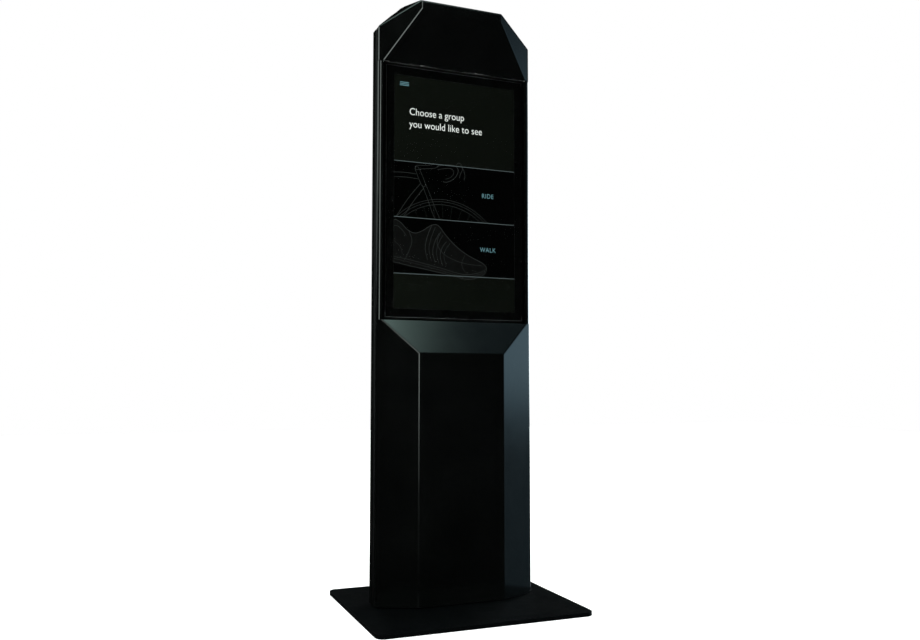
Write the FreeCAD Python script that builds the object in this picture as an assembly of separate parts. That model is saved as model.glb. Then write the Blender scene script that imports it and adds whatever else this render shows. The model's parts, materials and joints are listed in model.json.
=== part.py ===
import FreeCAD, Part
import os
from math import pi, tan

# Free-standing touchscreen kiosk.  Millimetres.  Origin: middle of the base's underside.
# +Z is up, the screen faces -Y and +X is to the right of a person facing the screen.

Vector = FreeCAD.Vector

# ---- overall sizes -----------------------------------------------------------------
HEIGHT = 1783.0              # floor to the top of the head
BODY_DEPTH = 112.0           # lower front panel to rear face
BASE_WIDTH = 635.0
BASE_DEPTH = 515.0

# ---- base --------------------------------------------------------------------------
MAT_THICK = 1.0
MAT_INSET = 2.0
BASE_THICK = 11.0
BASE_CORNER = 24.0           # plan radius of the base plate's corners
BASE_EDGE = 0.5              # chamfer round the plate's top edge
FOOT_THICK = 4.0             # foot plate, which is also the shadow gap under the casings
FOOT_INSET = 8.0             # casings' outer face to the foot plate's edge
ANCHOR_X = 120.0             # floor anchors, each side of the middle
ANCHOR_Y = 28.0
ANCHOR_RADIUS = 5.5
CABLE_Y = 12.0               # cable entry, behind the middle of the base
CABLE_HOLE_RADIUS = 20.0
GROMMET_BORE = 15.0
GROMMET_FLANGE = 24.0
GROMMET_LIP = 3.0

# ---- faceted front -----------------------------------------------------------------
SCREEN_SETBACK = 49.5        # lower front panel back to the glass
LOWER_PANEL_WIDTH = 269.0    # flat part of the lower front panel
BROW_WIDTH = 256.0           # flat strip along the top of the head
BROW_HEIGHT = 27.0
HEAD_RISE = 156.0            # height of the head's leaning panel
CHIN_DROP = 96.5             # height of the sloping panel under the screen
SHOULDER = 80.0              # 45 degree cut at each top corner
GLASS_STEP = 6.0             # casings' edges stand out this far in front of the glass
FACET_REACH = 25.0           # glass plane back to the rear tip of the corner facet
FORM_RADIUS = 9.0            # rounding along every outer edge of the casings
WALL = 3.0                   # casings' wall
SEAM = 0.4                   # visible joint between neighbouring covers

# ---- side layers, front to back ------------------------------------------------------
FRONT_RETURN = 12.5          # glass plane back to the front casings' rear edge
BAND_WIDTH = 17.0
BAND_GAP = 1.5               # shadow line each side of the band
BAND_RECESS = 1.0            # band's face below the casings' side face
BAND_FLANGE = 2.0
BAND_DEPTH = 7.0             # casings' side face in to the upright

# ---- frame -------------------------------------------------------------------------
UPRIGHT_WIDTH = 30.0
UPRIGHT_DEPTH = 25.0
UPRIGHT_WALL = 2.0
UPRIGHT_TOP_GAP = 10.0       # upright's top below the shoulder
SHELF_THICK = 3.0
SHELF_FIT = 0.2              # shelf's edge to the head casing's inner face
CROSS_DEPTH = 12.0
CLIP_HEIGHT = 30.0
CLIP_DEPTH = 5.0
BRACKET_THICK = 4.0
BRACKET_LENGTH = 50.0
BRACKET_HEIGHT = 70.0
BOLT_RADIUS = 4.0
BOLT_HEAD = 6.5
BOLT_HEAD_HEIGHT = 5.0
BOLT_SPACING = 23.0
BOLT_INSET = 9.75            # bracket's inner end to its first bolt

# ---- glass and display -----------------------------------------------------------------
GLASS_THICK = 4.0
GLASS_MARGIN = 15.0          # side face in to the glass edge
LEDGE_MARGIN = 26.0          # side face in to the ledge behind the glass
TAPE_THICK = 0.5
TAPE_WIDTH = 8.0
RAIL_HEIGHT = 24.0
DISPLAY_WIDTH = 408.0        # the body and the screen zone are built round the display
DISPLAY_HEIGHT = 713.0
DISPLAY_THICK = 19.0
DISPLAY_SIDE = 44.0          # display's side to the body's side face
DISPLAY_END = 28.0           # display's end to the screen zone's end
DISPLAY_EDGE = 2.0
BAR_HEIGHT = 40.0
BAR_THICK = 4.0
BAR_OFFSET = 230.0           # display's middle to each bar
BOARD_THICK = 1.6
BOARD_STANDOFF = 7.0
STANDOFF_RADIUS = 3.0
STANDOFF_INSET = 6.0         # board's edge to a standoff's axis
DRIVER_BOARD = (160.0, 100.0)
DRIVER_DROP = 20.0           # screen's middle down to the board's middle
TOUCH_BOARD = (80.0, 36.0)
TOUCH_X = 100.0
TOUCH_RISE = 65.0            # chin's top edge up to the board's middle

# ---- rear covers -------------------------------------------------------------------
JAMB_WIDTH = 33.0            # width of the corner profile's rear face
LIP_WIDTH = 13.0
LIP_DEPTH = 15.0             # rear face in to the lip's front face
PANEL_WALL = 2.5
PANEL_FIT = 0.3              # screwed panels to their jambs
DOOR_GAP = 1.0
DOOR_DROP = 20.0             # chin's top edge down to the door's top
SILL_HEIGHT = 78.0
SEAL_THICK = 1.7
SEAL_FIT = 0.3
SEAL_WIDTH = 8.0
RAIL_DEPTH = 3.0
LIP_RAIL_HEIGHT = 32.0
SCREW_RADIUS = 2.0
SCREW_HEAD = 4.0
SCREW_HEAD_HEIGHT = 2.0
SCREW_INSET = 8.0            # jamb in to each screw's axis
SCREW_EDGE = 22.0            # panel's end to its first screw
PANEL_SCREW_ROWS = 5
SLOT_HEIGHT = 3.5            # vent slots, too narrow for a finger
SLOT_LENGTH = 62.0
SLOT_PITCH = 8.0
SLOT_ROWS = 9
PANEL_VENT_RISE = 100.0      # upper panel's bottom to the middle of its lower vents
DOOR_VENT_INSET = 80.0       # door's end to the middle of its vents

# ---- hinges ------------------------------------------------------------------------
HINGE_LENGTH = 60.0
HINGE_INSET = 140.0          # door's end to each hinge's middle
KNUCKLE_RADIUS = 4.0
KNUCKLE_GAP = 0.4
PIN_RADIUS = 2.0
RUNNING_FIT = 0.05
LEAF_WIDTH = 20.0
LEAF_THICK = 2.0
KNUCKLE_CLEAR = 0.5          # knuckle to the rear face
LEAF_CLEAR = 1.0

# ---- lock --------------------------------------------------------------------------
LOCK_INSET = 24.0            # door's free edge to the lock's axis
LOCK_RADIUS = 8.5
LOCK_FLANGE = 11.0
LOCK_FLANGE_THICK = 1.5
LOCK_NUT_RADIUS = 12.0
LOCK_NUT_THICK = 3.0
BARREL_RADIUS = 6.0
CAM_LENGTH = 30.0
CAM_WIDTH = 14.0
CAM_ROUND = 9.0              # radius of the cam's round end
CAM_THICK = 2.0
CAM_GAP = 2.5                # cam to the lip it hooks behind
KEY_WIDTH = 2.2
KEY_HEIGHT = 8.0
KEY_DEPTH = 8.0

# ---- electrics -----------------------------------------------------------------------
EQUIPMENT_THICK = 2.0
EQUIPMENT_EDGE = 6.0         # plate's edge in from the upright's outer face
EQUIPMENT_BOTTOM = 110.0
EQUIPMENT_DROP = 31.0        # chin's top edge down to the plate's top
UNIT_DEPTH = 32.0            # depth of the supply and of the player
SUPPLY_WIDTH = 200.0
SUPPLY_HEIGHT = 70.0
SUPPLY_BOTTOM = 130.0
PLAYER_WIDTH = 180.0
PLAYER_HEIGHT = 130.0
PLAYER_DROP = 110.0          # plate's top down to the player's top
BUTTON_RADIUS = 4.0
BUTTON_FIT = 0.3
BUTTON_LENGTH = 6.0
BUTTON_PROUD = 1.5
BUTTON_POCKET = 6.0
BUTTON_INSET = 25.0          # player's side and bottom to the button's axis
SOCKET_Z = 55.0              # height of the sockets in the sill
SOCKET_SPACING = 70.0
FLANGE_THICK = 2.0
INLET_FLANGE = (50.0, 26.0)
INLET_BODY = (28.0, 20.0)
INLET_CAVITY = (24.0, 15.0)
INLET_DEPTH = 16.0
BLADE_LENGTH = 9.0
BLADE_SIZE = (2.0, 4.0)
BLADE_PLACES = ((-7.0, -2.0), (0.0, 2.0), (7.0, -2.0))
COUPLER_FLANGE = (26.0, 28.0)
COUPLER_BODY = (17.0, 17.0)
COUPLER_CAVITY = (12.4, 9.4)
COUPLER_DEPTH = 14.0
SWITCH_FLANGE = (25.0, 33.0)
SWITCH_BODY = (19.2, 27.6)
SWITCH_CAVITY = (16.6, 25.4)
SWITCH_DEPTH = 17.0
SOCKET_BACK = 2.0
ROCKER_WIDTH = 16.0
ROCKER_RADIUS = 12.3
ROCKER_SINK = 7.0            # switch flange's face in to the rocker's axis
ROCKER_BOTTOM = 5.0
ROCKER_TILT = 7.0            # degrees each way
ROCKER_PIN = 1.2
ROCKER_PIN_REACH = 9.1
FAN_SIZE = 80.0
FAN_DEPTH = 20.0
FAN_X = 90.0
FAN_BORE = 37.5
FAN_TIP_GAP = 1.2
FAN_HUB = 15.0
FAN_BLADES = 7
FAN_BLADE_THICK = 1.6
FAN_BLADE_CHORD = 24.0
FAN_BLADE_ROOT = 2.0         # rotor's axis to each blade's root
FAN_RAKE = 50.0              # degrees from the axis
FAN_STRUT = 4.0
FAN_AXIAL_GAP = 1.0
FAN_SHAFT = 1.5
FAN_TOP_GAP = 12.0           # fan's top below the shoulder
MAINS_LEAD = 6.0             # diameters
NETWORK_LEAD = 6.0
PLAYER_LEAD = 5.0
DISPLAY_LOOM = 9.0
LEAD_INSET = 21.0            # upright's inner face to the leads' upright run
LEAD_OFFSET = 18.0           # equipment plate's face to the leads' upright run
LEAD_ENTRY = 60.0            # player's bottom to the leads' entries
ARC_SHARE = 0.45             # share of the shorter run that an arc may take

# ---- places worked out from the sizes above ----------------------------------------
BODY_WIDTH = DISPLAY_WIDTH + 2 * DISPLAY_SIDE
GLASS_ZONE = DISPLAY_HEIGHT + 2 * DISPLAY_END
DOOR_DEPTH = LIP_DEPTH - WALL - SEAL_THICK - SEAL_FIT
HALF = BODY_WIDTH / 2
Y_FRONT = -BODY_DEPTH / 2
Y_REAR = BODY_DEPTH / 2
Y_GLASS = Y_FRONT + SCREEN_SETBACK
Y_SEAM = Y_GLASS + FRONT_RETURN
Y_BAND = Y_SEAM + BAND_GAP
Y_BAND_END = Y_BAND + BAND_WIDTH
Y_SHELL = Y_BAND_END + BAND_GAP
Y_LEDGE = Y_GLASS + GLASS_THICK + TAPE_THICK
Y_STEP = Y_GLASS - GLASS_STEP
Y_DISPLAY_BACK = Y_LEDGE + DISPLAY_THICK
Y_UPRIGHT_BACK = Y_SEAM + UPRIGHT_DEPTH
Y_LIP = Y_REAR - LIP_DEPTH
Y_LIP_BACK = Y_LIP + WALL
Y_HINGE = Y_REAR + KNUCKLE_CLEAR + KNUCKLE_RADIUS
Y_UNIT_BACK = Y_SEAM + UNIT_DEPTH

Z_PLATE = MAT_THICK + BASE_THICK
Z_CASING = Z_PLATE + FOOT_THICK
Z_BROW = HEIGHT - BROW_HEIGHT
Z_HEAD = Z_BROW - HEAD_RISE
Z_CHIN = Z_HEAD - GLASS_ZONE
Z_SHOULDER = HEIGHT - SHOULDER
Z_UPRIGHT_TOP = Z_SHOULDER - UPRIGHT_TOP_GAP
Z_SCREEN = (Z_CHIN + Z_HEAD) / 2
Z_DOOR = Z_CASING + SILL_HEIGHT + DOOR_GAP
Z_DOOR_TOP = Z_CHIN - DOOR_DROP
Z_UPPER_PANEL = Z_DOOR_TOP + DOOR_GAP
Z_LOCK = (Z_DOOR + Z_DOOR_TOP) / 2
Z_EQUIPMENT_TOP = Z_CHIN - EQUIPMENT_DROP
Z_PLAYER = Z_EQUIPMENT_TOP - PLAYER_DROP - PLAYER_HEIGHT
Z_FAN = Z_SHOULDER - FAN_TOP_GAP - FAN_SIZE / 2
Z_BOARD = Z_SCREEN - DRIVER_DROP

X_UPRIGHT_OUT = HALF - BAND_DEPTH
X_UPRIGHT_IN = X_UPRIGHT_OUT - UPRIGHT_WIDTH
X_GLASS = HALF - GLASS_MARGIN
X_LEDGE = HALF - LEDGE_MARGIN
X_JAMB = HALF - JAMB_WIDTH
X_LIP = X_JAMB + WALL - LIP_WIDTH
X_DOOR = X_JAMB - DOOR_GAP
X_PANEL = X_JAMB - PANEL_FIT
X_HINGE = -(X_JAMB - DOOR_GAP / 2)
X_LOCK = X_DOOR - LOCK_INSET
X_SCREW = X_JAMB - SCREW_INSET

BEYOND = 10.0                # how far a cutting tool reaches past what it cuts
CUT_SPAN = 5 * HEIGHT        # side of the block that trims at a plane


# ---- plain shapes ------------------------------------------------------------------
def block(x0, x1, y0, y1, z0, z1):
    return Part.makeBox(x1 - x0, y1 - y0, z1 - z0, Vector(x0, y0, z0))


def rod(radius, start, end):
    """Round bar from one point to another."""
    line = end - start
    return Part.makeCylinder(radius, line.Length, start, line)


def rod_y(radius, x, z, y0, y1):
    return rod(radius, Vector(x, y0, z), Vector(x, y1, z))


def rod_z(radius, x, y, z0, z1):
    return rod(radius, Vector(x, y, z0), Vector(x, y, z1))


def column(outline, z0, z1):
    """Upright prism on a plan outline of (x, y) points."""
    points = [Vector(x, y, z0) for x, y in outline]
    face = Part.Face(Part.makePolygon(points + points[:1]))
    return face.extrude(Vector(0, 0, z1 - z0))


def joined(shapes):
    """One solid from overlapping or touching ones."""
    whole = shapes[0]
    for shape in shapes[1:]:
        whole = whole.fuse(shape)
    return whole.removeSplitter()


def group(shapes):
    """Separate solids kept in one node."""
    return Part.makeCompound(shapes)


def mirrored(shape):
    """The same piece on the other side of the kiosk."""
    return shape.mirror(Vector(0, 0, 0), Vector(1, 0, 0))


def trim(shape, point, normal):
    """Remove what lies beyond a plane, on the side its normal points to."""
    cutter = Part.makeBox(CUT_SPAN, CUT_SPAN, CUT_SPAN)
    centred = FreeCAD.Placement(Vector(-CUT_SPAN / 2, -CUT_SPAN / 2, 0), FreeCAD.Rotation())
    turned = FreeCAD.Placement(point, FreeCAD.Rotation(Vector(0, 0, 1), normal))
    cutter.Placement = turned.multiply(centred)
    return shape.cut(cutter)


def faceted(blank, planes, inset):
    """A blank trimmed by planes, each moved inwards by the inset."""
    shape = blank
    for point, normal in planes:
        unit = Vector(normal).normalize()
        shape = trim(shape, point - unit * inset, unit)
    return shape.Solids[0]


def rounded(shape, radius, keep):
    """Round every edge whose middle passes the test."""
    edges = [edge for edge in shape.Edges if keep(edge.CenterOfMass)]
    return shape.makeFillet(radius, edges)


def tray(half_width, z0, z1, depth):
    """Cover with a rear skin and folded edges that reach forwards."""
    y0 = Y_REAR - depth
    outer = block(-half_width, half_width, y0, Y_REAR, z0, z1)
    inner_half = half_width - PANEL_WALL
    inner = block(-inner_half, inner_half, y0 - BEYOND, Y_REAR - PANEL_WALL,
                  z0 + PANEL_WALL, z1 - PANEL_WALL)
    return outer.cut(inner)


def plate_y(size, x, z, y0, y1):
    """Block of (width, height) about a point, spanning y0 to y1."""
    width, height = size
    return block(x - width / 2, x + width / 2, y0, y1, z - height / 2, z + height / 2)


def vent(x, z, y0, y1):
    """Bank of horizontal slots about a point, as cutting tools."""
    slots = []
    for row in range(SLOT_ROWS):
        level = z + (row - (SLOT_ROWS - 1) / 2) * SLOT_PITCH
        slots.append(plate_y((SLOT_LENGTH, SLOT_HEIGHT), x, level, y0, y1))
    return slots


def without(shape, cutters):
    for cutter in cutters:
        shape = shape.cut(cutter)
    return shape


# ---- outer forms -------------------------------------------------------------------
def bevel_planes(front_half):
    """Upright planes from the front panel's edges back to the side faces."""
    planes = []
    for side in (-1, 1):
        normal = Vector(side * SCREEN_SETBACK, front_half - HALF, 0)
        planes.append((Vector(side * HALF, Y_GLASS, 0), normal))
    return planes


def lower_form(inset):
    """Lower front of the body: flat panel, bevelled sides and sloping chin."""
    planes = bevel_planes(LOWER_PANEL_WIDTH / 2)
    planes.append((Vector(0, Y_STEP, Z_CHIN), Vector(0, -CHIN_DROP, Y_STEP - Y_FRONT)))
    half = HALF - inset
    blank = block(-half, half, Y_FRONT + inset, Y_SEAM, Z_CASING, Z_CHIN - inset)
    return faceted(blank, planes, inset)


def head_form(inset):
    """Head: leaning panel, brow, corner facets and 45 degree shoulders, full depth."""
    planes = bevel_planes(BROW_WIDTH / 2)
    planes.append((Vector(0, Y_STEP, Z_HEAD), Vector(0, -HEAD_RISE, Y_FRONT - Y_STEP)))
    for side in (-1, 1):
        planes.append((Vector(side * HALF, 0, Z_SHOULDER), Vector(side, 0, 1)))
        brow_tip = Vector(side * BROW_WIDTH / 2, Y_FRONT, HEIGHT)
        side_tip = Vector(side * HALF, Y_GLASS, Z_SHOULDER)
        rear_tip = Vector(side * (HALF - SHOULDER), Y_GLASS + FACET_REACH, HEIGHT)
        normal = (side_tip - brow_tip).cross(rear_tip - brow_tip) * side
        planes.append((brow_tip, normal))
    half = HALF - inset
    blank = block(-half, half, Y_FRONT + inset, Y_REAR - inset, Z_HEAD, HEIGHT - inset)
    form = faceted(blank, planes, inset)
    return rounded(form, FORM_RADIUS - inset, lambda middle: middle.z > Z_HEAD + 1)


def head_shell(inset):
    """Wall of the head all round, open below."""
    return head_form(inset).cut(head_form(inset + WALL))


def depth_slice(shape, y0, y1, z0):
    """The part of a shape between two depths, from a height upwards."""
    return shape.common(block(-BASE_WIDTH, BASE_WIDTH, y0, y1, z0, HEIGHT + BEYOND))


# ---- base --------------------------------------------------------------------------
def rounded_plate(inset, z0, z1):
    half_x = BASE_WIDTH / 2 - inset
    half_y = BASE_DEPTH / 2 - inset
    plate = block(-half_x, half_x, -half_y, half_y, z0, z1)
    corners = [e for e in plate.Edges if abs(e.CenterOfMass.z - (z0 + z1) / 2) < 0.1]
    return plate.makeFillet(BASE_CORNER - inset, corners)


def floor_holes(z0, z1):
    """Cutting tools for the four anchor holes and the cable entry."""
    holes = [rod_z(CABLE_HOLE_RADIUS, 0, CABLE_Y, z0, z1)]
    for x in (-ANCHOR_X, ANCHOR_X):
        for y in (-ANCHOR_Y, ANCHOR_Y):
            holes.append(rod_z(ANCHOR_RADIUS, x, y, z0, z1))
    return holes


def base_mat():
    return without(rounded_plate(MAT_INSET, 0, MAT_THICK), floor_holes(-BEYOND, Z_PLATE))


def base_plate():
    plate = rounded_plate(0, MAT_THICK, Z_PLATE)
    rim = [e for e in plate.Edges if abs(e.CenterOfMass.z - Z_PLATE) < 0.1]
    plate = plate.makeChamfer(BASE_EDGE, rim)
    return without(plate, floor_holes(-BEYOND, Z_CASING) + foot_bolt_solids())


def foot_plate():
    half = HALF - FOOT_INSET
    blank = block(-half, half, Y_FRONT + FOOT_INSET, Y_REAR - FOOT_INSET, Z_PLATE, Z_CASING)
    plate = faceted(blank, bevel_planes(LOWER_PANEL_WIDTH / 2), FOOT_INSET)
    return without(plate, floor_holes(0, Z_CASING + BEYOND) + foot_bolt_solids())


def cable_grommet():
    tube = rod_z(CABLE_HOLE_RADIUS, 0, CABLE_Y, MAT_THICK, Z_CASING)
    flange = rod_z(GROMMET_FLANGE, 0, CABLE_Y, Z_CASING, Z_CASING + GROMMET_LIP)
    bore = rod_z(GROMMET_BORE, 0, CABLE_Y, -BEYOND, Z_CASING + BEYOND)
    return joined([tube, flange]).cut(bore)


def bolt_places():
    """Two bolts through each foot bracket."""
    y = Y_SEAM + UPRIGHT_DEPTH / 2
    x_inner = X_UPRIGHT_IN - BRACKET_LENGTH + BOLT_INSET
    return [(side * x, y) for side in (-1, 1) for x in (x_inner, x_inner + BOLT_SPACING)]


def foot_bolt_solids():
    z_seat = Z_CASING + BRACKET_THICK
    bolts = []
    for x, y in bolt_places():
        shank = rod_z(BOLT_RADIUS, x, y, MAT_THICK + 1, z_seat)
        head = rod_z(BOLT_HEAD, x, y, z_seat, z_seat + BOLT_HEAD_HEIGHT)
        bolts.append(joined([shank, head]))
    return bolts


def foot_brackets():
    y0 = Y_SEAM + UPRIGHT_WALL
    y1 = Y_UPRIGHT_BACK - UPRIGHT_WALL
    z_seat = Z_CASING + BRACKET_THICK
    floor_leg = block(X_UPRIGHT_IN - BRACKET_LENGTH, X_UPRIGHT_IN, y0, y1, Z_CASING, z_seat)
    wall_leg = block(X_UPRIGHT_IN - BRACKET_THICK, X_UPRIGHT_IN, y0, y1,
                     Z_CASING, Z_CASING + BRACKET_HEIGHT)
    right = joined([floor_leg, wall_leg])
    return group([without(leg, foot_bolt_solids()) for leg in (mirrored(right), right)])


# ---- frame -------------------------------------------------------------------------
def upright():
    outer = block(X_UPRIGHT_IN, X_UPRIGHT_OUT, Y_SEAM, Y_UPRIGHT_BACK, Z_CASING, Z_UPRIGHT_TOP)
    inner = block(X_UPRIGHT_IN + UPRIGHT_WALL, X_UPRIGHT_OUT - UPRIGHT_WALL,
                  Y_SEAM + UPRIGHT_WALL, Y_UPRIGHT_BACK - UPRIGHT_WALL, 0, HEIGHT)
    return outer.cut(inner)


def cross_member(z0):
    return block(-X_UPRIGHT_IN, X_UPRIGHT_IN, Y_SEAM, Y_SEAM + CROSS_DEPTH, z0, z0 + RAIL_HEIGHT)


def head_shelf():
    """Rib on top of the uprights that fits inside the head casing."""
    inside = X_UPRIGHT_OUT - SHELF_FIT
    slab = block(-inside, inside, Y_FRONT, Y_LIP - 1, Z_UPRIGHT_TOP, Z_UPRIGHT_TOP + SHELF_THICK)
    return head_form(WALL + SHELF_FIT).common(slab)


def clip_levels(z0, z1, count):
    """Evenly spaced heights, well inside the ends of a cover."""
    step = (z1 - z0) / count
    return [z0 + step * (number + 0.5) for number in range(count)]


def casing_clips():
    """Blocks that tie the casings' side walls to the uprights."""
    clips = []
    front_levels = clip_levels(Z_CASING, Z_CHIN, 4) + [(Z_HEAD + Z_UPRIGHT_TOP) / 2]
    for z in front_levels:
        clips.append(block(X_UPRIGHT_OUT - CLIP_DEPTH, HALF - WALL, Y_SEAM - CLIP_DEPTH, Y_SEAM,
                           z - CLIP_HEIGHT / 2, z + CLIP_HEIGHT / 2))
    for z in clip_levels(Z_CASING, Z_SHOULDER, 5):
        clips.append(block(X_UPRIGHT_OUT, HALF - WALL, Y_SHELL + 1, Y_UPRIGHT_BACK,
                           z - CLIP_HEIGHT / 2, z + CLIP_HEIGHT / 2))
    return group(clips + [mirrored(clip) for clip in clips])


# ---- front covers and display --------------------------------------------------------
def lower_casing():
    def outer_edge(middle):
        return Z_CASING + 1 < middle.z < Z_CHIN - 1 and middle.y < Y_SEAM - 1
    return rounded(lower_form(0), FORM_RADIUS, outer_edge).cut(lower_form(WALL))


def head_casing():
    return depth_slice(head_shell(0), Y_FRONT - BEYOND, Y_SEAM, Z_HEAD)


def bezel():
    """Upright strip beside the glass, with a ledge behind it."""
    outline = [(HALF, Y_SEAM), (X_LEDGE, Y_SEAM), (X_LEDGE, Y_LEDGE), (X_GLASS + SEAM, Y_LEDGE),
               (X_GLASS + SEAM, Y_GLASS), (HALF, Y_GLASS)]
    strip = column(outline, Z_CHIN + SEAM, Z_HEAD - SEAM)

    def outer_corner(middle):
        return middle.x > HALF - 1 and middle.y < Y_GLASS + 1
    return rounded(strip, FORM_RADIUS, outer_corner)


def glass_rails():
    """Level strips behind the glass, above and below the display."""
    low = block(-X_LEDGE, X_LEDGE, Y_LEDGE, Y_SEAM, Z_CHIN + SEAM, Z_CHIN + RAIL_HEIGHT)
    high = block(-X_LEDGE, X_LEDGE, Y_LEDGE, Y_SEAM, Z_HEAD - RAIL_HEIGHT, Z_HEAD - SEAM)
    return group([low, high])


def glass_tape():
    y0 = Y_LEDGE - TAPE_THICK
    z0 = Z_CHIN + 2 * SEAM
    z1 = Z_HEAD - 2 * SEAM
    side = block(X_LEDGE, X_LEDGE + TAPE_WIDTH, y0, Y_LEDGE, z0, z1)
    low = block(-X_LEDGE, X_LEDGE, y0, Y_LEDGE, z0, z0 + TAPE_WIDTH)
    high = block(-X_LEDGE, X_LEDGE, y0, Y_LEDGE, z1 - TAPE_WIDTH, z1)
    return group([side, mirrored(side), low, high])


def cover_glass():
    return block(-X_GLASS, X_GLASS, Y_GLASS, Y_GLASS + GLASS_THICK, Z_CHIN + SEAM, Z_HEAD - SEAM)


def display_panel():
    body = plate_y((DISPLAY_WIDTH, DISPLAY_HEIGHT), 0, Z_SCREEN, Y_LEDGE, Y_DISPLAY_BACK)
    rear_rim = [e for e in body.Edges if abs(e.CenterOfMass.y - Y_DISPLAY_BACK) < 0.1]
    return body.makeChamfer(DISPLAY_EDGE, rear_rim)


def display_bars():
    y1 = Y_DISPLAY_BACK + BAR_THICK
    bars = []
    for z in (Z_SCREEN - BAR_OFFSET, Z_SCREEN + BAR_OFFSET):
        bars.append(plate_y((2 * X_UPRIGHT_IN, BAR_HEIGHT), 0, z, Y_DISPLAY_BACK, y1))
    return group(bars)


def circuit_board(x, z, size, parts):
    """Board on four standoffs, with parts given as (x, z, width, height, depth)."""
    width, height = size
    y_board = Y_DISPLAY_BACK + BOARD_STANDOFF
    y_face = y_board + BOARD_THICK
    pieces = [plate_y(size, x, z, y_board, y_face)]
    for dx in (-1, 1):
        for dz in (-1, 1):
            corner_x = x + dx * (width / 2 - STANDOFF_INSET)
            corner_z = z + dz * (height / 2 - STANDOFF_INSET)
            pieces.append(rod_y(STANDOFF_RADIUS, corner_x, corner_z, Y_DISPLAY_BACK, y_board))
    for part_x, part_z, part_width, part_height, part_depth in parts:
        pieces.append(plate_y((part_width, part_height), x + part_x, z + part_z,
                              y_face, y_face + part_depth))
    return joined(pieces)


def driver_board():
    parts = [(-50, -42, 24, 16, 9), (0, 5, 34, 34, 4), (50, 20, 22, 40, 7), (-52, 25, 18, 26, 6),
             (30, -38, 30, 12, 5)]
    return circuit_board(0, Z_BOARD, DRIVER_BOARD, parts)


def touch_controller():
    parts = [(-25, 0, 12, 20, 4), (5, 0, 14, 14, 2), (30, 0, 8, 22, 4)]
    return circuit_board(TOUCH_X, Z_CHIN + TOUCH_RISE, TOUCH_BOARD, parts)


# ---- bands between the front and rear covers ------------------------------------------
def side_band():
    x_face = HALF - BAND_RECESS
    web = block(x_face - WALL, x_face, Y_BAND, Y_BAND_END, Z_CASING, Z_SHOULDER)
    near = block(X_UPRIGHT_OUT, x_face - WALL, Y_BAND, Y_BAND + BAND_FLANGE,
                 Z_CASING, Z_SHOULDER)
    far = block(X_UPRIGHT_OUT, x_face - WALL, Y_BAND_END - BAND_FLANGE, Y_BAND_END,
                Z_CASING, Z_SHOULDER)
    return joined([web, near, far])


def top_band():
    return depth_slice(head_shell(BAND_RECESS), Y_BAND, Y_BAND_END, Z_SHOULDER)


# ---- rear covers -------------------------------------------------------------------
def rear_profile():
    """Folded corner strip: side wall and rear face."""
    skin = block(X_JAMB, HALF, Y_SHELL, Y_REAR, Z_CASING, Z_SHOULDER)
    inside = block(0, HALF - WALL, 0, Y_REAR - WALL, 0, HEIGHT)

    def corner(middle):
        return middle.x > HALF - WALL - 1 and middle.y > Y_REAR - WALL - 1
    skin = rounded(skin, FORM_RADIUS, corner)
    inside = rounded(inside, FORM_RADIUS - WALL,
                     lambda middle: corner(middle) and 1 < middle.z < HEIGHT - 1)
    return skin.cut(inside)


def door_jambs():
    """Folded strips welded inside the corner strips: a jamb, and a lip to close on."""
    jamb = block(X_JAMB, X_JAMB + WALL, Y_LIP, Y_REAR - WALL, Z_CASING, Z_SHOULDER)
    lip = block(X_LIP, X_JAMB + WALL, Y_LIP, Y_LIP_BACK, Z_CASING, Z_SHOULDER)
    strip = without(joined([jamb, lip]), panel_screw_solids())
    return group([mirrored(strip), strip])


def rear_top_shell():
    return depth_slice(head_shell(0), Y_SHELL, Y_REAR + BEYOND, Z_SHOULDER)


def panel_screw_levels():
    """Heights of the screws in the upper panel and in the sill."""
    z0 = Z_UPPER_PANEL + SCREW_EDGE
    step = (Z_SHOULDER - SCREW_EDGE - z0) / (PANEL_SCREW_ROWS - 1)
    upper = [z0 + step * row for row in range(PANEL_SCREW_ROWS)]
    return [Z_CASING + SILL_HEIGHT / 2] + upper


def panel_screw_solids():
    screws = []
    for z in panel_screw_levels():
        for x in (-X_SCREW, X_SCREW):
            shank = rod_y(SCREW_RADIUS, x, z, Y_LIP + 0.5, Y_REAR - SCREW_HEAD_HEIGHT)
            head = Part.makeCone(SCREW_RADIUS, SCREW_HEAD, SCREW_HEAD_HEIGHT,
                                 Vector(x, Y_REAR - SCREW_HEAD_HEIGHT, z), Vector(0, 1, 0))
            screws.append(joined([shank, head]))
    return screws


def socket_row():
    """Each socket's place along the sill: coupler, switch and inlet."""
    return {"coupler": -SOCKET_SPACING, "switch": 0.0, "inlet": SOCKET_SPACING}


def rear_sill():
    half = X_PANEL
    plate = block(-half, half, Y_REAR - PANEL_WALL, Y_REAR, Z_CASING, Z_CASING + SILL_HEIGHT)
    side = block(half - PANEL_WALL, half, Y_LIP_BACK, Y_REAR - PANEL_WALL,
                 Z_CASING, Z_CASING + SILL_HEIGHT)
    sill = joined([plate, side, mirrored(side)])
    sizes = {"coupler": COUPLER_BODY, "switch": SWITCH_BODY, "inlet": INLET_BODY}
    cutouts = [plate_y(sizes[name], x, SOCKET_Z, Y_LIP, Y_REAR + BEYOND)
               for name, x in socket_row().items()]
    return without(sill, cutouts + panel_screw_solids())


def lip_rail(z_joint):
    """Level strip that closes the lips behind a joint between two covers."""
    half_height = LIP_RAIL_HEIGHT / 2
    return block(-X_LIP, X_LIP, Y_LIP_BACK - RAIL_DEPTH, Y_LIP_BACK,
                 z_joint - half_height, z_joint + half_height)


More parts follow.
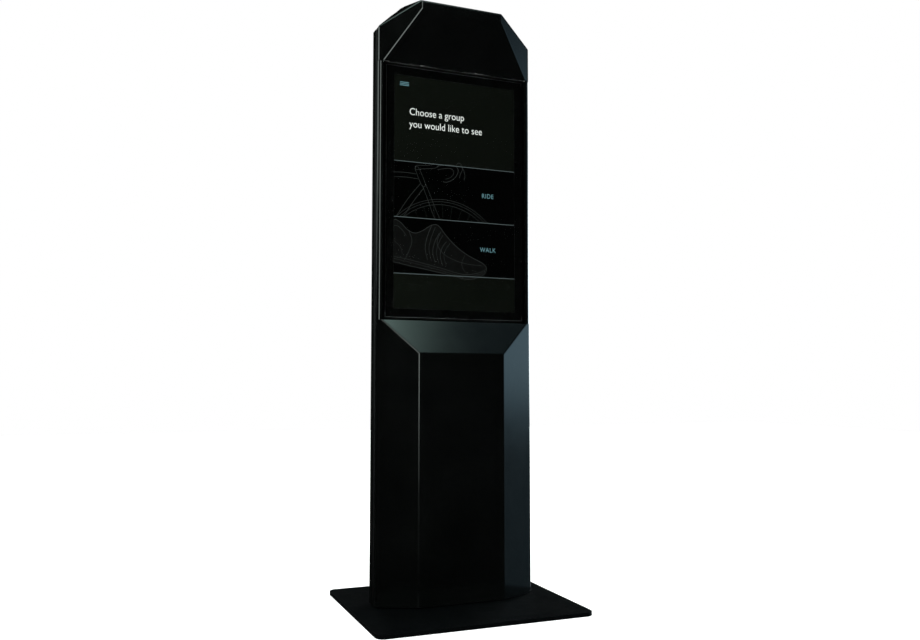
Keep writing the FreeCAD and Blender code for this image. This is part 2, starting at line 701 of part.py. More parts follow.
def upper_rear_panel():
    panel = tray(X_PANEL, Z_UPPER_PANEL, Z_SHOULDER - SEAM, LIP_DEPTH - WALL)
    banks = []
    for x in (-FAN_X, FAN_X):
        banks += vent(x, Z_FAN, Y_LIP_BACK, Y_REAR + BEYOND)
        banks += vent(x, Z_UPPER_PANEL + PANEL_VENT_RISE, Y_LIP_BACK, Y_REAR + BEYOND)
    return without(panel, banks + panel_screw_solids())


def rear_door():
    door = tray(X_DOOR, Z_DOOR, Z_DOOR_TOP, DOOR_DEPTH)
    banks = []
    for x in (-FAN_X, FAN_X):
        banks += vent(x, Z_DOOR + DOOR_VENT_INSET, Y_LIP_BACK, Y_REAR + BEYOND)
        banks += vent(x, Z_DOOR_TOP - DOOR_VENT_INSET, Y_LIP_BACK, Y_REAR + BEYOND)
    lock_hole = rod_y(LOCK_RADIUS, X_LOCK, Z_LOCK, Y_LIP, Y_REAR + BEYOND)
    return without(door, banks + [lock_hole])


def door_seal():
    """Foam strip on the lips, just clear of the closed door's folded edge."""
    y1 = Y_LIP_BACK + SEAL_THICK
    outer = block(-X_DOOR, X_DOOR, Y_LIP_BACK, y1, Z_DOOR, Z_DOOR_TOP)
    inner_half = X_DOOR - SEAL_WIDTH
    inner = block(-inner_half, inner_half, Y_LIP, Y_REAR,
                  Z_DOOR + SEAL_WIDTH, Z_DOOR_TOP - SEAL_WIDTH)
    return outer.cut(inner)


# ---- hinges ------------------------------------------------------------------------
def hinge_levels():
    return (Z_DOOR + HINGE_INSET, Z_DOOR_TOP - HINGE_INSET)


def knuckle_spans(z):
    """Ends of the three knuckles: frame, door, frame."""
    third = HINGE_LENGTH / 3
    z0 = z - HINGE_LENGTH / 2
    spans = [(z0 + third * number, z0 + third * (number + 1)) for number in range(3)]
    half_gap = KNUCKLE_GAP / 2
    return [(low + half_gap, high - half_gap) for low, high in spans]


def hinge_leaf(z, side, own_spans, other_spans, bore):
    """Leaf on one side of the axis, notched round the other leaf's knuckles."""
    y1 = Y_REAR + LEAF_THICK
    far = X_HINGE + side * LEAF_WIDTH
    leaf = block(min(far, X_HINGE), max(far, X_HINGE), Y_REAR, y1,
                 z - HINGE_LENGTH / 2, z + HINGE_LENGTH / 2)
    reach = KNUCKLE_RADIUS + LEAF_CLEAR
    for low, high in other_spans:
        leaf = leaf.cut(block(X_HINGE - reach, X_HINGE + reach, Y_REAR - 1, y1 + 1,
                              low - KNUCKLE_GAP, high + KNUCKLE_GAP))
    knuckles = [rod_z(KNUCKLE_RADIUS, X_HINGE, Y_HINGE, low, high) for low, high in own_spans]
    solid = joined([leaf] + knuckles)
    return solid.cut(rod_z(bore, X_HINGE, Y_HINGE, 0, HEIGHT))


def hinge_frame_leaves():
    leaves = []
    for z in hinge_levels():
        low, middle, high = knuckle_spans(z)
        leaves.append(hinge_leaf(z, -1, [low, high], [middle], PIN_RADIUS))
    return group(leaves)


def hinge_door_leaves():
    leaves = []
    for z in hinge_levels():
        low, middle, high = knuckle_spans(z)
        leaves.append(hinge_leaf(z, 1, [middle], [low, high], PIN_RADIUS + RUNNING_FIT))
    return group(leaves)


def hinge_pins():
    reach = HINGE_LENGTH / 2 + 1
    return group([rod_z(PIN_RADIUS, X_HINGE, Y_HINGE, z - reach, z + reach)
                  for z in hinge_levels()])


# ---- lock --------------------------------------------------------------------------
def lock_housing():
    body = rod_y(LOCK_RADIUS, X_LOCK, Z_LOCK, Y_LIP - CAM_GAP + SEAM, Y_REAR)
    flange = rod_y(LOCK_FLANGE, X_LOCK, Z_LOCK, Y_REAR, Y_REAR + LOCK_FLANGE_THICK)
    bore = rod_y(BARREL_RADIUS + RUNNING_FIT, X_LOCK, Z_LOCK, 0, Y_REAR + BEYOND)
    return joined([body, flange]).cut(bore)


def lock_nut():
    y1 = Y_REAR - PANEL_WALL
    nut = rod_y(LOCK_NUT_RADIUS, X_LOCK, Z_LOCK, y1 - LOCK_NUT_THICK, y1)
    return nut.cut(rod_y(LOCK_RADIUS, X_LOCK, Z_LOCK, 0, Y_REAR))


def lock_barrel():
    y_face = Y_REAR + LOCK_FLANGE_THICK
    y_back = Y_LIP - CAM_GAP - CAM_THICK - 1
    barrel = rod_y(BARREL_RADIUS, X_LOCK, Z_LOCK, y_back, y_face)
    slot = plate_y((KEY_WIDTH, KEY_HEIGHT), X_LOCK, Z_LOCK, y_face - KEY_DEPTH, y_face + BEYOND)
    return barrel.cut(slot)


def lock_cam():
    """Cam that points up when open and hooks behind the lip when turned."""
    y1 = Y_LIP - CAM_GAP
    y0 = y1 - CAM_THICK
    round_end = rod_y(CAM_ROUND, X_LOCK, Z_LOCK, y0, y1)
    arm = block(X_LOCK - CAM_WIDTH / 2, X_LOCK + CAM_WIDTH / 2, y0, y1, Z_LOCK, Z_LOCK + CAM_LENGTH)
    hole = rod_y(BARREL_RADIUS, X_LOCK, Z_LOCK, 0, Y_REAR)
    return joined([round_end, arm]).cut(hole)


# ---- electrics -----------------------------------------------------------------------
def equipment_plate():
    half = X_UPRIGHT_OUT - EQUIPMENT_EDGE
    return block(-half, half, Y_SEAM - EQUIPMENT_THICK, Y_SEAM, EQUIPMENT_BOTTOM, Z_EQUIPMENT_TOP)


def power_supply():
    half = SUPPLY_WIDTH / 2
    return block(-half, half, Y_SEAM, Y_UNIT_BACK, SUPPLY_BOTTOM, SUPPLY_BOTTOM + SUPPLY_HEIGHT)


def button_place():
    """Middle of the power button on the player's rear face."""
    return (PLAYER_WIDTH / 2 - BUTTON_INSET, Z_PLAYER + BUTTON_INSET)


def media_player():
    half = PLAYER_WIDTH / 2
    case = block(-half, half, Y_SEAM, Y_UNIT_BACK, Z_PLAYER, Z_PLAYER + PLAYER_HEIGHT)
    x, z = button_place()
    y0 = Y_UNIT_BACK - BUTTON_POCKET
    return case.cut(rod_y(BUTTON_RADIUS + BUTTON_FIT, x, z, y0, Y_UNIT_BACK + BEYOND))


def power_button():
    x, z = button_place()
    y1 = Y_UNIT_BACK + BUTTON_PROUD
    return rod_y(BUTTON_RADIUS, x, z, y1 - BUTTON_LENGTH, y1)


def socket(x, flange, body, cavity, depth):
    """Flanged insert in the sill, with a square mouth that faces backwards."""
    y_face = Y_REAR + FLANGE_THICK
    outer = joined([plate_y(flange, x, SOCKET_Z, Y_REAR, y_face),
                    plate_y(body, x, SOCKET_Z, Y_REAR - depth, Y_REAR)])
    return outer.cut(plate_y(cavity, x, SOCKET_Z, Y_REAR - depth + SOCKET_BACK, y_face + BEYOND))


def inlet_module():
    """Three-blade mains inlet."""
    x = socket_row()["inlet"]
    shell = socket(x, INLET_FLANGE, INLET_BODY, INLET_CAVITY, INLET_DEPTH)
    y0 = Y_REAR - INLET_DEPTH
    blades = []
    for dx, dz in BLADE_PLACES:
        blades.append(plate_y(BLADE_SIZE, x + dx, SOCKET_Z + dz, y0, y0 + BLADE_LENGTH))
    return joined([shell] + blades)


def network_coupler():
    x = socket_row()["coupler"]
    return socket(x, COUPLER_FLANGE, COUPLER_BODY, COUPLER_CAVITY, COUPLER_DEPTH)


def rocker_axis():
    return Vector(socket_row()["switch"], Y_REAR + FLANGE_THICK - ROCKER_SINK, SOCKET_Z)


def pin_along_x(radius, reach):
    centre = rocker_axis()
    return rod(radius, centre - Vector(reach, 0, 0), centre + Vector(reach, 0, 0))


def switch_frame():
    x = socket_row()["switch"]
    frame = socket(x, SWITCH_FLANGE, SWITCH_BODY, SWITCH_CAVITY, SWITCH_DEPTH)
    return frame.cut(pin_along_x(ROCKER_PIN + RUNNING_FIT, ROCKER_PIN_REACH + SEAL_FIT))


def power_rocker():
    """Rocker with a shallow V face, resting tilted to its off side."""
    centre = rocker_axis()
    half_width = Vector(ROCKER_WIDTH / 2, 0, 0)
    drum = rod(ROCKER_RADIUS, centre - half_width, centre + half_width)
    rocker = trim(drum, centre - Vector(0, ROCKER_BOTTOM, 0), Vector(0, -1, 0))
    face = centre + Vector(0, ROCKER_SINK - FLANGE_THICK, 0)
    notch_width = 2 * ROCKER_WIDTH
    for side in (-1, 1):
        wedge = Part.makeBox(notch_width, notch_width, notch_width,
                             Vector(centre.x - notch_width / 2, face.y, face.z))
        wedge.rotate(face, Vector(1, 0, 0), -ROCKER_TILT)
        if side < 0:
            wedge = wedge.mirror(face, Vector(0, 0, 1))
        rocker = rocker.cut(wedge)
    rocker = joined([rocker, pin_along_x(ROCKER_PIN, ROCKER_PIN_REACH)])
    rocker.rotate(centre, Vector(1, 0, 0), -ROCKER_TILT)
    return rocker


# ---- fans --------------------------------------------------------------------------
def fan_frame(x):
    """Square fan housing with four struts to the motor hub."""
    y1 = Y_REAR - PANEL_WALL
    y0 = y1 - FAN_DEPTH
    case = plate_y((FAN_SIZE, FAN_SIZE), x, Z_FAN, y0, y1)
    case = case.cut(rod_y(FAN_BORE, x, Z_FAN, y0 - 1, y1 + 1))
    hub = rod_y(FAN_HUB, x, Z_FAN, y0, y0 + FAN_STRUT)
    level = plate_y((FAN_SIZE - 1, FAN_STRUT), x, Z_FAN, y0, y0 + FAN_STRUT)
    upright_strut = plate_y((FAN_STRUT, FAN_SIZE - 1), x, Z_FAN, y0, y0 + FAN_STRUT)
    frame = joined([case, hub, level, upright_strut])
    return frame.cut(rod_y(FAN_SHAFT + RUNNING_FIT, x, Z_FAN, y0 + 1, y1))


def fan_rotor(x):
    """Hub, shaft and raked blades."""
    y_back = Y_REAR - PANEL_WALL - FAN_AXIAL_GAP
    y_front = Y_REAR - PANEL_WALL - FAN_DEPTH + FAN_STRUT + FAN_AXIAL_GAP
    tip = FAN_BORE - FAN_TIP_GAP
    hub = rod_y(FAN_HUB, x, Z_FAN, y_front, y_back)
    shaft = rod_y(FAN_SHAFT, x, Z_FAN, y_front - FAN_STRUT, y_front)
    sweep = rod_y(tip, x, Z_FAN, y_front, y_back)
    middle_y = (y_front + y_back) / 2
    pieces = [hub, shaft]
    for number in range(FAN_BLADES):
        blade = Part.makeBox(FAN_BLADE_THICK, FAN_BLADE_CHORD, tip,
                             Vector(x - FAN_BLADE_THICK / 2, middle_y - FAN_BLADE_CHORD / 2,
                                    Z_FAN + FAN_BLADE_ROOT))
        blade.rotate(Vector(x, middle_y, Z_FAN), Vector(0, 0, 1), FAN_RAKE)
        blade.rotate(Vector(x, middle_y, Z_FAN), Vector(0, 1, 0), number * 360.0 / FAN_BLADES)
        pieces.append(blade.common(sweep))
    return joined(pieces)


# ---- leads held inside the body --------------------------------------------------------
def lead(name, diameter, route):
    """Round lead along straight runs joined by tangent arcs."""
    points = [Vector(*place) for place in route]
    edges = []
    radii = []
    start = points[0]
    for before, corner, after in zip(points, points[1:], points[2:]):
        back = (before - corner).normalize()
        ahead = (after - corner).normalize()
        half_turn = (back * -1).getAngle(ahead) / 2
        shorter = min((before - corner).Length, (after - corner).Length)
        cut_back = ARC_SHARE * shorter
        radius = cut_back / tan(half_turn)
        bisector = (back + ahead).normalize()
        centre_distance = (radius ** 2 + cut_back ** 2) ** 0.5
        arc_start = corner + back * cut_back
        arc_end = corner + ahead * cut_back
        arc_middle = corner + bisector * (centre_distance - radius)
        edges.append(Part.LineSegment(start, arc_start).toShape())
        edges.append(Part.Arc(arc_start, arc_middle, arc_end).toShape())
        radii.append(radius)
        start = arc_end
    edges.append(Part.LineSegment(start, points[-1]).toShape())
    path = Part.Wire(edges)
    first_run = points[1] - points[0]
    section = Part.Wire([Part.makeCircle(diameter / 2, points[0], first_run)])
    tube = path.makePipeShell([section], True, False)
    ideal = pi * diameter ** 2 / 4 * path.Length
    print(name, "length", round(path.Length), "volume ratio", round(tube.Volume / ideal, 4),
          "radii", [round(radius) for radius in radii])
    return tube


def mains_lead():
    """Inlet to power supply."""
    x = socket_row()["inlet"]
    y_start = Y_REAR - INLET_DEPTH
    y_end = Y_SEAM + UNIT_DEPTH / 2
    return lead("mains_lead", MAINS_LEAD,
                [(x, y_start, SOCKET_Z), (x, y_start - 22, SOCKET_Z),
                 (x, y_end - 14, SOCKET_Z + 23), (x, y_end, SUPPLY_BOTTOM - 26),
                 (x, y_end, SUPPLY_BOTTOM)])


def network_lead():
    """Network coupler to media player, up the hinge side."""
    x = socket_row()["coupler"]
    side = -(X_UPRIGHT_IN - LEAD_INSET)
    y_start = Y_REAR - COUPLER_DEPTH
    y_run = Y_SEAM + LEAD_OFFSET
    z_end = Z_PLAYER + LEAD_ENTRY
    return lead("network_lead", NETWORK_LEAD,
                [(x, y_start, SOCKET_Z), (x, y_start - 18, SOCKET_Z),
                 (x - 12, y_start - 32, SOCKET_Z + 3), (x - 42, y_start - 36, SOCKET_Z + 11),
                 (x - 76, y_run - 8, SOCKET_Z + 22),
                 (side + 6, y_run, SOCKET_Z + 62), (side, y_run, SOCKET_Z + 130),
                 (side, y_run + 1, z_end - 90), (side + 16, y_run, z_end - 34),
                 (side + 52, y_run, z_end), (-PLAYER_WIDTH / 2, y_run, z_end)])


def player_lead():
    """Power supply to media player, up the lock side."""
    side = X_UPRIGHT_IN - LEAD_INSET
    y_run = Y_SEAM + LEAD_OFFSET
    z_start = SUPPLY_BOTTOM + SUPPLY_HEIGHT / 2
    z_end = Z_PLAYER + LEAD_ENTRY
    return lead("player_lead", PLAYER_LEAD,
                [(SUPPLY_WIDTH / 2, y_run, z_start), (SUPPLY_WIDTH / 2 + 30, y_run, z_start),
                 (side - 18, y_run, z_start + 24), (side, y_run, z_start + 80),
                 (side, y_run + 1, z_end - 90), (side - 16, y_run, z_end - 34),
                 (side - 52, y_run, z_end), (PLAYER_WIDTH / 2, y_run, z_end)])


def display_loom():
    """Sheathed signal and power loom from the player up to the driver board."""
    y_run = Y_DISPLAY_BACK + BOARD_STANDOFF + BOARD_THICK + 4
    z_start = Z_PLAYER + PLAYER_HEIGHT
    z_end = Z_BOARD - DRIVER_BOARD[1] / 2
    return lead("display_loom", DISPLAY_LOOM,
                [(-60, y_run, z_start), (-60, y_run, z_start + 45),
                 (-100, y_run, z_start + 105), (-118, y_run, z_start + 190),
                 (-120, y_run, z_end - 130), (-96, y_run, z_end - 82),
                 (-52, y_run, z_end - 44), (-52, y_run, z_end)])


# ---- one node per piece --------------------------------------------------------------
def all_nodes():
    return {
        "base_mat": base_mat(),
        "base_plate": base_plate(),
        "foot_plate": foot_plate(),
        "cable_grommet": cable_grommet(),
        "foot_bolts": group(foot_bolt_solids()),
        "foot_brackets": foot_brackets(),
        "upright_left": mirrored(upright()),
        "upright_right": upright(),
        "middle_cross_member": cross_member(Z_CHIN),
        "upper_cross_member": cross_member(Z_HEAD - RAIL_HEIGHT),
        "head_shelf": head_shelf(),
        "casing_clips": casing_clips(),
        "lower_casing": lower_casing(),
        "head_casing": head_casing(),
        "bezel_left": mirrored(bezel()),
        "bezel_right": bezel(),
        "glass_rails": glass_rails(),
        "glass_tape": glass_tape(),
        "cover_glass": cover_glass(),
        "display_panel": display_panel(),
        "display_bars": display_bars(),
        "driver_board": driver_board(),
        "touch_controller": touch_controller(),
        "side_band_left": mirrored(side_band()),
        "side_band_right": side_band(),
        "top_band": top_band(),
        "rear_profile_left": mirrored(rear_profile()),
        "rear_profile_right": rear_profile(),
        "door_jambs": door_jambs(),
        "rear_top_shell": rear_top_shell(),
        "rear_sill": rear_sill(),
        "sill_rail": lip_rail(Z_DOOR - DOOR_GAP / 2),
        "mid_rail": lip_rail(Z_DOOR_TOP + DOOR_GAP / 2),
        "upper_rear_panel": upper_rear_panel(),
        "panel_screws": group(panel_screw_solids()),
        "rear_door": rear_door(),
        "door_seal": door_seal(),
        "hinge_frame_leaves": hinge_frame_leaves(),
        "hinge_door_leaves": hinge_door_leaves(),
        "hinge_pins": hinge_pins(),
        "lock_housing": lock_housing(),
        "lock_nut": lock_nut(),
        "lock_barrel": lock_barrel(),
        "lock_cam": lock_cam(),
        "equipment_plate": equipment_plate(),
        "power_supply": power_supply(),
        "media_player": media_player(),
        "power_button": power_button(),
        "inlet_module": inlet_module(),
        "network_coupler": network_coupler(),
        "switch_frame": switch_frame(),
        "power_rocker": power_rocker(),
        "fan_frame_left": fan_frame(-FAN_X),
        "fan_frame_right": fan_frame(FAN_X),
        "fan_rotor_left": fan_rotor(-FAN_X),
        "fan_rotor_right": fan_rotor(FAN_X),
        "mains_lead": mains_lead(),
        "network_lead": network_lead(),
        "player_lead": player_lead(),
        "display_loom": display_loom(),
    }


os.makedirs("parts", exist_ok=True)
for node, shape in all_nodes().items():
    shape.exportStep("parts/" + node + ".step")
    solids = len(shape.Solids)
    print(node, "solids", solids, "valid", shape.isValid(), "volume", round(shape.Volume))
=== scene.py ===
import bmesh
import bpy
import json
import math
from mathutils import Matrix, Vector


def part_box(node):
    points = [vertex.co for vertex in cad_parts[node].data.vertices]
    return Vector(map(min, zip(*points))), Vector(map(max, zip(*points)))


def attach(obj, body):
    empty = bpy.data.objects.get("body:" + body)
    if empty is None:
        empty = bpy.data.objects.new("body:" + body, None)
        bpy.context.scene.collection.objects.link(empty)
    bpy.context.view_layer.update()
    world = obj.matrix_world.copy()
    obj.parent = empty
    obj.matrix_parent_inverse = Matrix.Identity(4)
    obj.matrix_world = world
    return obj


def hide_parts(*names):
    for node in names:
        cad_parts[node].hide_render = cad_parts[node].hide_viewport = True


# Touchscreen kiosk.  Metres; same frame as the CAD: base bottom centre, -Y front, +Z up.

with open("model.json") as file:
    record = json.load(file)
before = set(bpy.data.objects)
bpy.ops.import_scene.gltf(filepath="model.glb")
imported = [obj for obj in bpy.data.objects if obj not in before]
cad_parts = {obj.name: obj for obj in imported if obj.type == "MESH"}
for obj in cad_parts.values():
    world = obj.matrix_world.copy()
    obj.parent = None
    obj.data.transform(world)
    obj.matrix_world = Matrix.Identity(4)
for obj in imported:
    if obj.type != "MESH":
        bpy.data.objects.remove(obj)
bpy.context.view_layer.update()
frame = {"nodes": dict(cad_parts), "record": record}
nodes = frame["nodes"]
scene = bpy.context.scene
MM = 0.001


# ---- camera ------------------------------------------------------------------------------
CAMERA_PLACE = (-0.9678, -2.3473, 0.6479)
CAMERA_HEADING = math.radians(21.369)    # from +Y towards +X
CAMERA_TILT = math.radians(3.852)        # upwards
CAMERA_ROLL = math.radians(0.11)
CAMERA_LENS = 33.164                     # mm, on a sensor 36 mm wide
CAMERA_SHIFT = (0.0219, 0.0066)


def aim_camera():
    """Camera low on the object's left front, looking slightly up."""
    heading, tilt = CAMERA_HEADING, CAMERA_TILT
    ahead = Vector((math.sin(heading) * math.cos(tilt),
                    math.cos(heading) * math.cos(tilt), math.sin(tilt)))
    right = ahead.cross(Vector((0, 0, 1))).normalized()
    above = right.cross(ahead)
    turn = Matrix((right, above, -ahead)).transposed().to_4x4()
    lens = bpy.data.cameras.new("camera")
    lens.sensor_width = 36.0
    lens.lens = CAMERA_LENS
    lens.shift_x, lens.shift_y = CAMERA_SHIFT
    lens.clip_end = 60.0
    camera = bpy.data.objects.new("camera", lens)
    place = Matrix.Translation(CAMERA_PLACE)
    camera.matrix_world = place @ turn @ Matrix.Rotation(CAMERA_ROLL, 4, "Z")
    scene.collection.objects.link(camera)
    scene.camera = camera


# ---- shader nodes ----------------------------------------------------------------------
class Finish:
    """One procedural material on object coordinates, in metres."""

    def __init__(self, name, **sockets):
        self.material = bpy.data.materials.new(name)
        self.material.use_nodes = True
        self.tree = self.material.node_tree
        self.surface = self.tree.nodes["Principled BSDF"]
        self.place = self.tree.nodes.new("ShaderNodeTexCoord").outputs["Object"]
        for socket, value in sockets.items():
            self.surface.inputs[socket.replace("_", " ")].default_value = value

    def node(self, kind, **settings):
        made = self.tree.nodes.new("ShaderNode" + kind)
        for key, value in settings.items():
            setattr(made, key, value)
        return made

    def feed(self, value, socket):
        """Links a socket's value, or sets a plain one."""
        if isinstance(value, bpy.types.NodeSocket):
            self.tree.links.new(value, socket)
        else:
            socket.default_value = value

    def math(self, operation, first, second=0.0):
        made = self.node("Math", operation=operation)
        self.feed(first, made.inputs[0])
        self.feed(second, made.inputs[1])
        return made.outputs[0]

    def stretched(self, scale):
        """Coordinates scaled by axis, so that a pattern can run along one."""
        made = self.node("Mapping")
        self.feed(self.place, made.inputs["Vector"])
        made.inputs["Scale"].default_value = scale
        return made.outputs["Vector"]

    def noise(self, scale, detail=3.0, vector=None):
        made = self.node("TexNoise")
        self.feed(vector or self.place, made.inputs["Vector"])
        made.inputs["Scale"].default_value = scale
        made.inputs["Detail"].default_value = detail
        return made.outputs["Fac"]

    def cells(self, scale):
        made = self.node("TexVoronoi")
        self.feed(self.place, made.inputs["Vector"])
        made.inputs["Scale"].default_value = scale
        return made.outputs["Distance"]

    def spread(self, value, low, high, start=0.3, end=0.7):
        """Takes the range from start to end to the range from low to high."""
        made = self.node("MapRange")
        for socket, number in zip(made.inputs, (value, start, end, low, high)):
            self.feed(number, socket)
        return made.outputs[0]

    def blend(self, share, first, second):
        made = self.node("Mix", data_type="RGBA")
        self.feed(share, made.inputs["Factor"])
        for label, value in (("A", first), ("B", second)):
            socket = [s for s in made.inputs if s.name == label and s.type == "RGBA"][0]
            self.feed(value, socket)
        return [s for s in made.outputs if s.type == "RGBA"][0]

    def edges(self, radius):
        """Mask that is 1 on sharp edges: where a rounded normal leaves the true one."""
        soft = self.node("Bevel", samples=4)
        soft.inputs["Radius"].default_value = radius
        true = self.node("NewGeometry")
        dot = self.node("VectorMath", operation="DOT_PRODUCT")
        self.feed(soft.outputs["Normal"], dot.inputs[0])
        self.feed(true.outputs["Normal"], dot.inputs[1])
        return self.spread(dot.outputs["Value"], 1.0, 0.0, 0.75, 0.98)

    def bump(self, height, strength, distance=0.0005):
        made = self.node("Bump")
        made.inputs["Strength"].default_value = strength
        made.inputs["Distance"].default_value = distance
        self.feed(height, made.inputs["Height"])
        self.feed(made.outputs["Normal"], self.surface.inputs["Normal"])

    def paint(self, colour):
        self.feed(colour, self.surface.inputs["Base Color"])

    def gloss(self, roughness):
        self.feed(roughness, self.surface.inputs["Roughness"])


def tone(red, green, blue):
    return (red, green, blue, 1.0)


def grey(value):
    return tone(value, value, value)


def coated(name, dark, light, rough, grain, strength, edge_rub_and_highlight=None, edge_rub_and_highlight_share=0.3, cloud=6.0, **sockets):
    """Painted, moulded or plated finish: clouds of tone, fine grain and paler edges, which are wear
    and, on the black casing and base, a painted edge highlight.
    """
    made = Finish(name, **sockets)
    fine = made.noise(grain, 2.0)
    clouds = made.noise(cloud, 4.0)
    # paler edges: edge wear, and on the black casing and base a painted highlight along the edges
    colour = made.blend(made.spread(clouds, 0.0, 1.0), dark, light)
    if edge_rub_and_highlight:
        patchy = made.spread(made.noise(60.0, 4.0), 0.2 * edge_rub_and_highlight_share, edge_rub_and_highlight_share)
        mask = made.math("MULTIPLY", made.edges(0.0009), patchy)
        colour = made.blend(mask, colour, edge_rub_and_highlight)
    made.paint(colour)
    smudge = made.math("ADD", made.noise(14.0, 5.0), made.math("MULTIPLY", fine, 0.25))
    made.gloss(made.spread(smudge, rough[0], rough[1], 0.4, 0.85))
    made.bump(fine, strength)
    return made.material


def brushed(name, dark, light, rough, along, strength=0.12, edge_rub_and_highlight=None, **sockets):
    """Metal with fine scratches along one axis."""
    made = Finish(name, Metallic=1.0, **sockets)
    scale = [900.0, 900.0, 900.0]
    scale["xyz".index(along)] = 12.0
    lines = made.noise(1.0, 4.0, made.stretched(scale))
    clouds = made.noise(9.0, 4.0)
    both = made.math("ADD", made.math("MULTIPLY", lines, 0.5), made.math("MULTIPLY", clouds, 0.5))
    colour = made.blend(made.spread(both, 0.0, 1.0), dark, light)
    if edge_rub_and_highlight:
        colour = made.blend(made.math("MULTIPLY", made.edges(0.0006), 0.5), colour, edge_rub_and_highlight)
    made.paint(colour)
    made.gloss(made.spread(lines, rough[0], rough[1]))
    made.bump(lines, strength, 0.0002)
    return made.material


def plated(name, dark, light, rough):
    """Zinc plate: faint crystal cells over cloudy tone."""
    made = Finish(name, Metallic=1.0)
    cells = made.cells(120.0)
    clouds = made.noise(7.0, 4.0)
    both = made.math("ADD", made.math("MULTIPLY", cells, 0.35), clouds)
    made.paint(made.blend(made.spread(both, 0.0, 1.0, 0.4, 0.9), dark, light))
    made.gloss(made.spread(both, rough[0], rough[1], 0.4, 0.9))
    made.bump(cells, 0.05, 0.0002)
    return made.material


def clear_glass():
    """Touch glass: clear, with faint finger smears in its gloss."""
    made = Finish("cover_glass_clear", Transmission_Weight=1.0, IOR=1.5)
    smears = made.noise(5.0, 6.0, made.stretched((1.0, 1.0, 2.2)))
    made.paint(made.blend(smears, tone(0.90, 0.93, 0.92), tone(0.94, 0.96, 0.955)))
    made.gloss(made.spread(smears, 0.0, 0.045, 0.42, 0.75))
    return made.material


def circuit():
    """Solder mask over a grid of tracks."""
    made = Finish("circuit_board", Specular_IOR_Level=0.5)
    tracks = made.node("TexBrick", offset=0.37, squash=1.0)
    made.feed(made.stretched((260.0, 260.0, 260.0)), tracks.inputs["Vector"])
    tracks.inputs["Mortar Size"].default_value = 0.09
    tracks.inputs["Color1"].default_value = tone(0.010, 0.085, 0.036)
    tracks.inputs["Color2"].default_value = tone(0.013, 0.105, 0.045)
    tracks.inputs["Mortar"].default_value = tone(0.035, 0.19, 0.075)
    clouds = made.noise(30.0)
    made.paint(made.blend(made.spread(clouds, 0.0, 0.4), tracks.outputs["Color"],
                          tone(0.008, 0.07, 0.03)))
    made.gloss(made.spread(clouds, 0.28, 0.45))
    made.bump(tracks.outputs["Fac"], 0.15, 0.0001)
    return made.material


def braided():
    """Woven sheath: two crossing sets of fine waves."""
    made = Finish("loom_sheath")
    waves = []
    for slope in (1.0, -1.0):
        wave = made.node("TexWave", bands_direction="DIAGONAL")
        made.feed(made.stretched((slope, 1.0, 1.0)), wave.inputs["Vector"])
        wave.inputs["Scale"].default_value = 260.0
        waves.append(wave.outputs["Fac"])
    weave = made.math("MULTIPLY", waves[0], waves[1])
    made.paint(made.blend(weave, grey(0.008), grey(0.035)))
    made.gloss(made.spread(weave, 0.5, 0.7, 0.0, 1.0))
    made.bump(weave, 0.6, 0.0004)
    return made.material


def lit(name, colour, strength, fall=0.0, base=0.002):
    """Part of the lit picture.  It gives a little less light towards the right."""
    made = Finish(name, Roughness=0.45, Specular_IOR_Level=0.0)
    made.paint(made.blend(made.noise(40.0), grey(base), grey(base * 1.5)))
    made.surface.inputs["Emission Strength"].default_value = strength
    split = made.node("SeparateXYZ")
    made.feed(made.place, split.inputs[0])
    dim = [channel * (1.0 - fall) for channel in colour[:3]]
    across = made.spread(split.outputs["X"], 0.0, 1.0, -0.2, 0.2)
    glow = made.blend(across, colour, tone(*dim))
    made.feed(glow, made.surface.inputs["Emission Color"])
    return made.material


